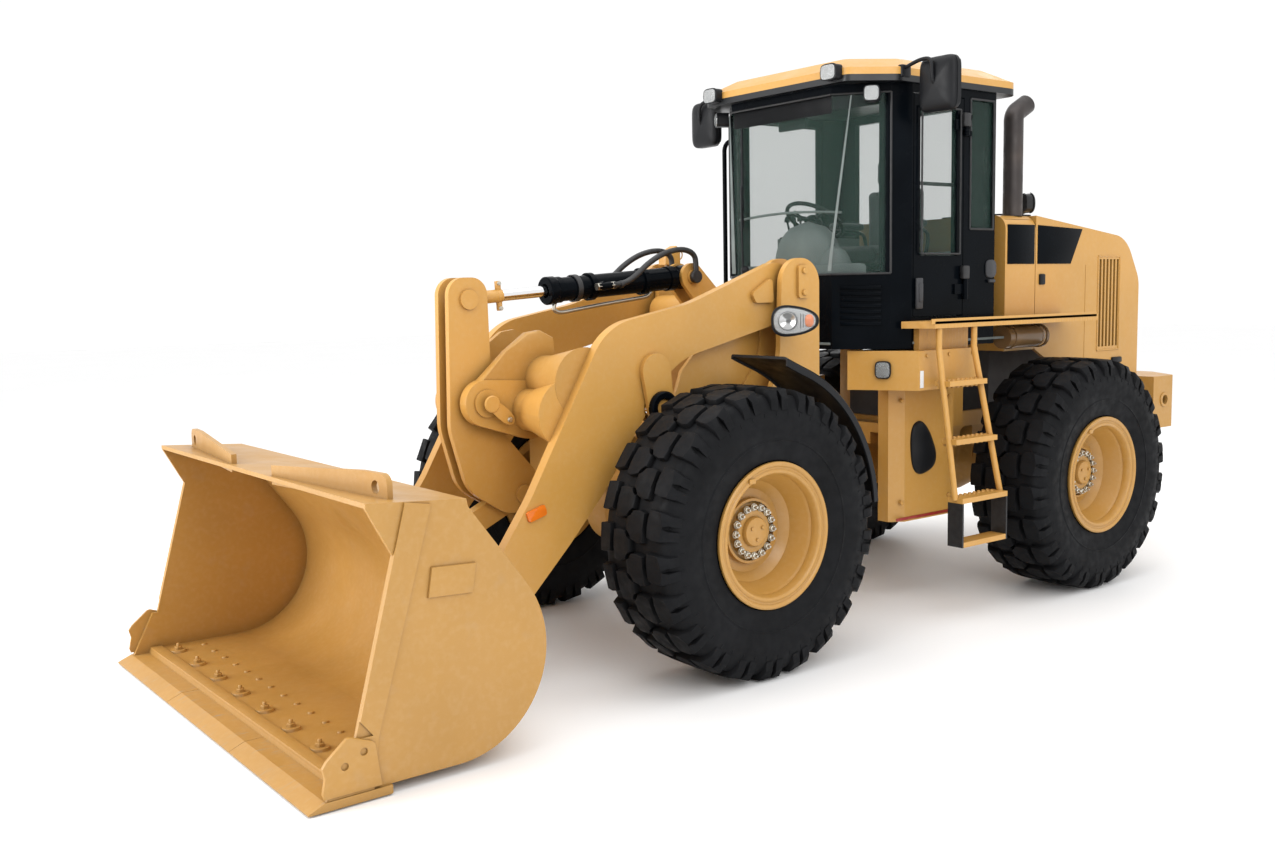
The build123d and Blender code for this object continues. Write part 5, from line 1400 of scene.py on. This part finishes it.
BUCKET_BOSS = [(0, -0.002), (0.045, -0.002), (0.04, 0.012), (0, 0.014)]
BUCKET_STUD = [(0, -0.002), (0.016, -0.002), (0.013, 0.007), (0, 0.009)]
BOSS_X, STUD_X = 2.19, 2.04
BASE_STRIP = [(2.235, -1.22), (2.295, -1.22), (2.295, 1.22), (2.235, 1.22)]
RAISED_PANEL = [(1.72, 0.74), (1.92, 0.75), (1.90, 0.87), (1.70, 0.86)]
PANEL_Y, SHOE_Y = 1.2485, 1.252
CORNER_SHOE = [
    (2.150, 0.055), (2.385, 0.055), (2.392, 0.075), (2.380, 0.135), (2.390, 0.175), (2.372, 0.200),
    (2.290, 0.268), (2.275, 0.272), (2.185, 0.240), (2.172, 0.228),
]
SHOE_HOLES = [(2.220, 0.205), (2.300, 0.165)]


def spread(half, count):
    """Distances spaced evenly across the machine."""
    return [-half + 2 * half * step / (count - 1) for step in range(count)]


class LOADER_OT_bucket_wear(bpy.types.Operator):
    """Adds the bolts, bosses, base strip, corner shoes and raised side panels of the bucket."""

    bl_idname = "loader.bucket_wear"
    bl_label = "Bucket wear parts"

    def execute(self, context):
        x = FRONT_X
        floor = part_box("bucket_shell")[0][2] + 0.02
        strips, nuts = forms(2)
        for y in spread(1.08, 8):
            add_lathe(strips, BUCKET_BOSS, placed((x + BOSS_X, y, floor), UP), 24)
            add_bolt(nuts, (x + BOSS_X, y, floor + 0.013), UP, 0.034, 0.012)
        for y in spread(1.12, 15):
            add_lathe(strips, BUCKET_STUD, placed((x + STUD_X, y, floor), UP), 16)
        add_plate(strips, [(x + run, y, floor - 0.003) for run, y in BASE_STRIP], (0, 0, 0.016), 0.006)
        for side, hand in HANDS.items():
            add_plate(strips, on_side(x, side * PANEL_Y, RAISED_PANEL), (0, side * 0.015, 0), 0.006)
            shoe = bmesh.new()
            holes = [(hole, 0.015, (0, side, 0)) for hole in on_side(x, side * SHOE_Y, SHOE_HOLES)]
            outline = on_side(x, side * SHOE_Y, CORNER_SHOE)
            add_drilled_plate(shoe, outline, holes, Vector((0, side * 0.0175, 0)), 0.003)
            make_pieces("bucket", (f"corner_shoe_{hand}", shoe, "bucket_paint"))
        make_pieces("bucket", ("bucket_strips", strips, "bucket_paint"), ("bucket_nuts", nuts, "bucket_paint"))
        return {"FINISHED"}


HOSE_OUT = 0.1073
GLAND = [(0.038, 0.0), (0.072, 0.0), (0.075, 0.006), (0.075, 0.05), (0.070, 0.056), (0.038, 0.056)]
HOSE_ROUTE = [
    (0.60, 0.0), (0.52, 0.0), (0.44, 0.03), (0.34, 0.10), (0.22, 0.15), (0.09, 0.165), (0.0, 0.13),
    (-0.005, 0.06), (0.0, 0.0),
]
HOSE_SLEEVE = [(0.0, 0.0), (0.0195, 0.0), (0.0205, 0.003), (0.0205, 0.017), (0.0195, 0.02), (0.0, 0.02)]
HOSE_CAP = [(0, -0.014), (0.034, -0.014), (0.036, -0.011), (0.036, 0.011), (0.034, 0.014), (0, 0.014)]
HOSE_NUT = [(0.0, -0.01), (0.021, -0.01), (0.021, 0.014), (0.017, 0.018), (0.0, 0.018)]
PIPE_ROUTE = [
    (0.90, 0.062), (0.925, 0.10), (0.88, 0.125), (0.80, 0.118), (0.60, 0.104), (0.34, 0.092), (0.27, 0.088),
    (0.25, 0.062),
]
CRANK_PIN_CAP = [(0, 0.0), (0.04, 0.0), (0.043, 0.003), (0.043, 0.008), (0.038, 0.012), (0, 0.012)]
ARM_PIN_CAP = [(0, -0.004), (0.05, -0.004), (0.05, 0.005), (0.045, 0.009), (0, 0.009)]
LIFT_COLLAR = [(0.047, -0.004), (0.086, -0.004), (0.086, 0.022), (0.078, 0.03), (0.054, 0.03), (0.047, 0.024)]
ROD_EYE = Vector((0.035, 0, 0.52))
CRANK_PIN_Y, ARM_PIN_Y, ARM_FACE, LUG_FACE = 0.2085, 0.5855, 0.5602, 0.5935
LIFT_EYE = (0.2, 1.33)
MARKER = (0.962, 0.872)
CONE_FOOT = (-0.36, 0.12, 0.10)
POINTER_FOOT = (-0.76, -0.47, 2.08)
CHEEK = [
    (0.035, 0.11), (-0.13, 0.255), (-0.26, 0.345), (-0.34, 0.355), (-0.42, 0.315), (-0.43, 0.22),
    (-0.30, 0.0), (-0.12, -0.02),
]
CHEEK_CONE = [(0, 0), (0.125, 0), (0.125, 0.1), (0.16, 0.3), (0.176, 0.385), (0, 0.385)]
TOWER_BOLTS = [(-0.60, 1.32), (-0.52, 1.32), (-0.60, 1.24), (-0.52, 1.24)]
POINTER = [(0.0, 0.0), (0.12, 0.0), (0.12, 0.07), (0.03, 0.115), (0.0, 0.095)]
POINTER_WIRE = [
    (0.0, 0.03, 0.03), (-0.03, 0.03, 0.03), (-0.045, 0.03, 0.06), (-0.035, 0.03, 0.085),
    (0.005, 0.03, 0.085),
]


class LOADER_OT_linkage_trim(bpy.types.Operator):
    """Adds the tilt cylinder's fittings, pin caps, cast cheeks, markers and tower trim of the linkage."""

    bl_idname = "loader.linkage_trim"
    bl_label = "Linkage trim"

    def execute(self, context):
        self.tilt_cylinder()
        self.pins()
        self.tower()
        return {"FINISHED"}

    def tilt_cylinder(self):
        """Makes the tilt rod's clamp and the barrel's gland, hoses, pipe and strap."""
        base, top = JOINTS["tilt_barrel_swing"], JOINTS["crank"] + ROD_EYE
        along = (top - base).normalized()
        up = along.cross(Vector((0, 1, 0)))
        up = up if up.z > 0 else -up
        sleeve, clamp_bolts, gland, hoses, pipe, strap = forms(6)
        add_rod(sleeve, top - along * 0.13, top - along * 0.215, 0.0335, 28, 0.002)
        add_rod(sleeve, top - along * 0.205, top - along * 0.235, 0.0345, 28, 0.002)
        add_lathe(gland, GLAND, placed(base + along * 0.905, along), 40, closed=True)
        for run in (0.30, 0.66):
            add_band(gland, 0.066, 0.0755, 0.03, placed(base + along * run, along))
        add_pipe(pipe, [base + along * run - up * drop for run, drop in PIPE_ROUTE], 0.011, 10)
        for side in SIDES:
            ear = top - along * 0.22 + up * side * 0.03
            add_rod(sleeve, ear, ear + up * side * 0.046, 0.016, 16, 0.003)
            bolt = top - along * 0.22 + up * side * 0.064 + Vector((0, 0.016, 0))
            add_bolt(clamp_bolts, bolt, (0, 1, 0), 0.018)
            start = base + Vector((0, side * HOSE_OUT, 0))
            add_pipe(hoses, [start + along * run + up * rise for run, rise in HOSE_ROUTE], 0.016, 10)
            for run in (0.575, 0.525):
                add_lathe(hoses, HOSE_SLEEVE, placed(start + along * run, along), 24)
            add_lathe(hoses, HOSE_CAP, placed(start, (0, 1, 0)), 32)
            for run in (0.60, 0.69):
                add_lathe(pipe, HOSE_NUT, placed(start + along * run, -along), 6)
        add_band(strap, 0.067, 0.0735, 0.03, placed(base + along * 0.76, along))
        make_pieces(
            "tilt_rod",
            ("rod_clamp", sleeve, "yellow_paint"),
            ("rod_clamp_bolts", clamp_bolts, "plated_steel"),
        )
        make_pieces(
            "tilt_barrel",
            ("tilt_gland", gland, "gloss_black"),
            ("tilt_hose_arcs", hoses, "hose_rubber", "tilt_hoses"),
            ("tilt_pipe", pipe, "plated_steel"),
            ("tilt_strap", strap, "hose_rubber"),
        )

    def pins(self):
        """Makes the arms' pin caps, keepers, collars, cast cheeks and markers."""
        crank = JOINTS["crank"]
        keepers, collars, cheeks, bolts, markers = forms(5)
        for side in SIDES:
            out = (0, side, 0)
            pin = crank + Vector((0, side * CRANK_PIN_Y, 0))
            add_lathe(keepers, CRANK_PIN_CAP, placed(pin, out), 32)
            flag = pin + Vector((-0.06, -side * 0.002, -0.05))
            outline = oval_outline(flag, (0.77, 0, 0.64), (-0.64, 0, 0.77), 0.085, 0.034, 2.3)
            add_plate(keepers, outline, (0, side * 0.008, 0), 0.003)
            add_bolt(bolts, pin + Vector((-0.10, side * 0.006, -0.085)), out, 0.022)
            for joint in (JOINTS["lift"], JOINTS["tilt"]):
                add_lathe(keepers, ARM_PIN_CAP, placed((joint.x, side * ARM_PIN_Y, joint.z), out), 36)
            (marker,) = on_side(FRONT_X, side * ARM_FACE, [MARKER])
            outline = oval_outline(marker, (0.96, 0, -0.28), (0.28, 0, 0.96), 0.055, 0.026, 9)
            add_plate(markers, outline, (0, side * 0.012, 0), 0.005)
            (eye,) = on_side(FRONT_X, side * LUG_FACE, [LIFT_EYE])
            add_lathe(collars, LIFT_COLLAR, placed(eye, out), 44, closed=True)
            outline = [crank + Vector((run, side * 0.106, rise)) for run, rise in CHEEK]
            add_plate(cheeks, outline, (0, side * 0.044, 0), 0.012)
            (cone,) = at(0, [CONE_FOOT], side)
            add_lathe(cheeks, CHEEK_CONE, placed(crank + cone, out), 48)
        make_pieces(
            "boom",
            ("pin_keepers", keepers, "yellow_paint"),
            ("lift_pin_collars", collars, "gloss_black"),
            ("crank_cheeks", cheeks, "cast_paint"),
            ("pin_keeper_bolts", bolts, "plated_steel"),
            ("arm_markers", markers, "amber_lens"),
        )

    def tower(self):
        """Makes the towers' bolts and the pointer on the right one."""
        bolts, pointer = forms(2)
        for side in SIDES:
            for z in (1.90, 2.02):
                add_bolt(bolts, (FRONT_X - 0.77, side * 0.648, z), (0, side, 0), 0.03)
            for point in on_side(FRONT_X, side * 0.63, TOWER_BOLTS):
                add_bolt(bolts, point, (0, side, 0), 0.024)
        (foot,) = at(FRONT_X, [POINTER_FOOT])
        add_plate(pointer, [foot + Vector((run, 0, rise)) for run, rise in POINTER], (0, 0.065, 0), 0.006)
        add_pipe(pointer, [foot + Vector(step) for step in POINTER_WIRE], 0.004, 8)
        make_pieces(
            "front_frame", ("tower_bolts", bolts, "yellow_paint"), ("tower_pointer", pointer, "yellow_paint"),
        )


REFLECTOR = [((-0.12, 0.848, 1.335), (-0.09, 0.854, 1.435), 0.002)]
TANK_STRIP = [((-0.68, 0.6185, 0.51), (-0.155, 0.6245, 0.528), 0.002)]
TANK_BOLTS = [(-0.64, 0.62), (-0.64, 1.24), (-0.2, 0.62), (-0.2, 1.24)]
BOX_BOLTS = [(-0.57, 1.52), (-0.35, 1.52), (-0.15, 1.52)]
STEP_GRIP = [(0.011, -0.03), (0.011, 0.014), (0.008, 0.019), (0.004, 0.016), (0, 0.016)]
# Distance from the middle and height of the ladder's treads.
LADDER_TREADS = [(1.078, 0.70), (1.03, 1.031), (0.985, 1.362)]
LIP_LOW, LIP_HIGH, LIP_Y = 1.705, 1.735, 0.95


class LOADER_OT_side_trim(bpy.types.Operator):
    """Adds the covers, reflectors, strips, step grips, plate lips and clamps along the sides."""

    bl_idname = "loader.side_trim"
    bl_label = "Side trim"

    def execute(self, context):
        x = HITCH_X
        covers, reflectors, strips, bolts, grips, lips, clamps = forms(7)
        for side, hand in HANDS.items():
            out = (0, side, 0)
            place = axes_at((x - 0.385, side * 0.6195, 0.945), (0.28, 0, 0.96), (-0.96, 0, 0.28), out)
            add_dome(covers, place, 0.165, 0.105, 0.035, 2.6, 7, 40, 0.28)
            add_blocks(reflectors, x, REFLECTOR, side)
            add_blocks(strips, x, TANK_STRIP, side)
            for point in on_side(x, side * 0.62, TANK_BOLTS):
                add_bolt(bolts, point, out, 0.022)
            for point in on_side(x, side * 0.85, BOX_BOLTS):
                add_bolt(bolts, point, out, 0.02)
            low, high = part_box(f"walkway_{hand}")
            rear, front = low[0] + 0.02, high[0] - 0.03
            lip = [(rear, LIP_LOW), (front, LIP_LOW), (front, LIP_HIGH), (rear, LIP_HIGH)]
            add_plate(lips, on_side(0, side * LIP_Y, lip), (0, -side * 0.006, 0), 0.002)
        for y, z in LADDER_TREADS:
            for row in range(2):
                for step in range(9):
                    spot = (x - 0.50 + 0.042 * step, y - 0.055 + 0.03 * row, z)
                    add_lathe(grips, STEP_GRIP, placed(spot, UP), 10)
        for run in (-1.08, -1.40):
            add_band(clamps, 0.066, 0.0755, 0.022, placed((x + run, 0.74, 1.59), (1, 0, 0)))
        make_pieces(
            "rear_frame",
            ("tank_covers", covers, "moulded_black"),
            ("side_reflectors", reflectors, "reflector_white"),
            ("tank_strips", strips, "red_strip"),
            ("tank_bolts", bolts, "yellow_paint"),
            ("step_grips", grips, "yellow_paint"),
            ("walkway_lips", lips, "yellow_paint"),
            # The clamps take the duct's painted shade too.
            ("duct_clamps", clamps, "duct_brown"),
        )
        return {"FINISHED"}


GUARD_START, GUARD_END, GUARD_STEPS = 102.0, 176.0, 36
GUARD_SECTION = [
    (0.70, 0.840), (0.70, 0.858), (0.706, 0.864), (1.090, 0.864), (1.108, 0.860), (1.118, 0.850),
    (1.120, 0.818), (1.112, 0.815), (1.108, 0.842), (1.100, 0.850), (0.712, 0.850), (0.709, 0.840),
]
GUARD_UPTURN, UPTURN_STEPS = 0.018, 5
STAY_TURN, STAY_RADIUS = math.radians(138), 0.85
TOWER_WEB = [
    (-0.640, 1.80), (-0.420, 1.72), (-0.140, 1.60), (-0.040, 1.50), (0.020, 1.34), (0.030, 1.17),
    (-0.300, 1.19), (-0.640, 1.50),
]
TIE_RING = [(0.034, -0.004), (0.052, -0.004), (0.052, 0.005), (0.048, 0.009), (0.034, 0.009)]


class LOADER_OT_frame_trim(bpy.types.Operator):
    """Adds tyre guards, tower webs, the axles' bolts and the counterweight's rings and bolts."""

    bl_idname = "loader.frame_trim"
    bl_label = "Frame trim"

    def execute(self, context):
        guards, webs, front, rear, rings = forms(5)
        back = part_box("counterweight")[0][0]
        for side in SIDES:
            out = (0, side, 0)
            self.add_guard(guards, side)
            add_plate(webs, on_side(FRONT_X, side * 0.441, TOWER_WEB), (0, side * 0.021, 0), 0.005)
            for bolts, x in ((front, FRONT_X), (rear, REAR_X)):
                for turn in turns(12):
                    spot = (x + 0.19 * math.cos(turn), side * 0.63, AXLE_Z + 0.19 * math.sin(turn))
                    add_bolt(bolts, spot, out, 0.026)
            add_lathe(rings, TIE_RING, placed((back + 0.33, side * 0.81, 1.08), out), 36, closed=True)
            for z in (1.16, 0.98):
                add_bolt(rings, (back + 0.02, side * 0.3, z), (-1, 0, 0), 0.04)
        make_pieces(
            "front_frame",
            ("tyre_guards", guards, "moulded_black", "front_fenders"),
            ("tower_webs", webs, "yellow_paint"),
            ("front_axle_bolts", front, "cast_paint"),
        )
        make_pieces(
            "rear_frame",
            ("rear_axle_bolts", rear, "cast_paint"),
            ("counterweight_rings", rings, "cast_paint"),
        )
        return {"FINISHED"}

    def add_guard(self, bm, side):
        """Adds one front tyre's guard, swept round the axle and turned up at its front, with its stay."""
        rings = []
        for step in range(GUARD_STEPS + 1):
            turn = math.radians(GUARD_START + (GUARD_END - GUARD_START) * step / GUARD_STEPS)
            lift = GUARD_UPTURN * max(0.0, 1 - step / UPTURN_STEPS) ** 2
            ring = []
            for y, radius in GUARD_SECTION:
                point = round_point(radius + lift, turn)
                ring.append(bm.verts.new((FRONT_X + point.x, side * y, AXLE_Z + point.y)))
            rings.append(ring)
        for ring, after in zip(rings, rings[1:]):
            for (a, b), (c, d) in zip(around(ring), around(after)):
                bm.faces.new((a, b, d, c))
        bm.faces.new(rings[0])
        bm.faces.new(rings[-1][::-1])
        stay = round_point(STAY_RADIUS, STAY_TURN)
        foot = Vector((FRONT_X + stay.x, 0, AXLE_Z + stay.y + 0.01))
        ends = [foot + Vector((0, side * y, -0.04)) for y in (0.63, 0.82)]
        add_rod(bm, *ends, 0.024, 24, 0.004)
        pad = ((-0.04, 0.71, foot.z - 0.06), (0.02, 0.81, foot.z - 0.004), 0.006)
        add_blocks(bm, foot.x, [pad], side)


CAMERA_SPOT = (FRONT_X + 4.1529, 5.5448, 1.9413)
CAMERA_YAW, CAMERA_PITCH, CAMERA_ROLL = (math.radians(value) for value in (-127.436, 6.2885, -1.069))
SKY_STRENGTH = 1.04
# Each light: name, place, the point that it faces, side and power.
LIGHTS = [
    ("top_light", (0.5, 1.0, 9.0), (0, 0, 0.5), 9.0, 340),
    ("key_light", (3.5, 9.0, 6.0), (0, 0, 1.2), 5.0, 240),
    ("fill_light", (9.0, -2.0, 3.5), (0.5, 0, 1.0), 5.0, 480),
    ("back_light", (-8.0, -5.0, 5.0), (-1.0, 0, 1.5), 4.0, 140),
]


class LOADER_OT_stage(bpy.types.Operator):
    """Sets the floor, the soft light and the camera."""

    bl_idname = "loader.stage"
    bl_label = "Stage"

    def execute(self, context):
        scene = context.scene
        bm = bmesh.new()
        bmesh.ops.create_grid(bm, x_segments=1, y_segments=1, size=scene.loader_sizes.floor_size / 2)
        floor = linked("floor", mesh_of("floor", bm))
        floor.data.materials.append(finish_of("floor_finish"))
        scene.world = bpy.data.worlds.new("studio")
        scene.world.use_nodes = True
        backdrop = scene.world.node_tree.nodes["Background"]
        backdrop.inputs["Color"].default_value = (1.0, 1.0, 1.0, 1.0)
        backdrop.inputs["Strength"].default_value = SKY_STRENGTH
        for name, spot, target, size, power in LIGHTS:
            light = bpy.data.lights.new(name, "AREA")
            light.size = size
            light.energy = power
            linked(name, light).matrix_world = placed(spot, Vector(spot) - Vector(target))
        self.camera(scene)
        scene.view_settings.view_transform = "Standard"
        return {"FINISHED"}

    def camera(self, scene):
        """Sets the camera at the photograph's viewing angle."""
        camera = linked("camera", bpy.data.cameras.new("camera"))
        camera.data.sensor_fit = "HORIZONTAL"
        camera.data.sensor_width = FRAME_WIDTH
        camera.data.lens = scene.loader_sizes.lens_length
        level = math.cos(CAMERA_PITCH)
        ahead = Vector((math.cos(CAMERA_YAW) * level, math.sin(CAMERA_YAW) * level, -math.sin(CAMERA_PITCH)))
        right = ahead.cross(Vector(UP)).normalized()
        up = right.cross(ahead)
        across = right * math.cos(CAMERA_ROLL) + up * math.sin(CAMERA_ROLL)
        upright = up * math.cos(CAMERA_ROLL) - right * math.sin(CAMERA_ROLL)
        camera.matrix_world = axes_at(CAMERA_SPOT, across, upright, -ahead)
        scene.camera = camera


STEPS = (
    LOADER_OT_paint_solids,
    LOADER_OT_tyres,
    LOADER_OT_wheel_fittings,
    LOADER_OT_seat,
    LOADER_OT_cab_inside,
    LOADER_OT_cab_outside,
    LOADER_OT_lamps,
    LOADER_OT_mirrors,
    LOADER_OT_hood_trim,
    LOADER_OT_bucket_wear,
    LOADER_OT_linkage_trim,
    LOADER_OT_side_trim,
    LOADER_OT_frame_trim,
    LOADER_OT_stage,
)


class LOADER_PT_dressing(bpy.types.Panel):
    """Lists the loader's pieces and settings."""

    bl_idname = "LOADER_PT_dressing"
    bl_label = "Wheel loader"
    bl_space_type = "VIEW_3D"
    bl_region_type = "UI"
    bl_category = "Loader"

    def draw(self, context):
        for group in (context.scene.loader_colours, context.scene.loader_sizes):
            for key in group.__annotations__:
                self.layout.prop(group, key)
        for step in STEPS:
            self.layout.operator(step.bl_idname)


CLASSES = (LoaderColours, LoaderSizes) + STEPS + (LOADER_PT_dressing,)


def register():
    for entry in CLASSES:
        bpy.utils.register_class(entry)
    bpy.types.Scene.loader_colours = PointerProperty(type=LoaderColours)
    bpy.types.Scene.loader_sizes = PointerProperty(type=LoaderSizes)


def unregister():
    del bpy.types.Scene.loader_sizes
    del bpy.types.Scene.loader_colours
    for entry in reversed(CLASSES):
        bpy.utils.unregister_class(entry)


def main():
    """Makes every piece in order."""
    register()
    for step in STEPS:
        group, name = step.bl_idname.split(".")
        getattr(getattr(bpy.ops, group), name)()


if __name__ == "__main__":
    main()
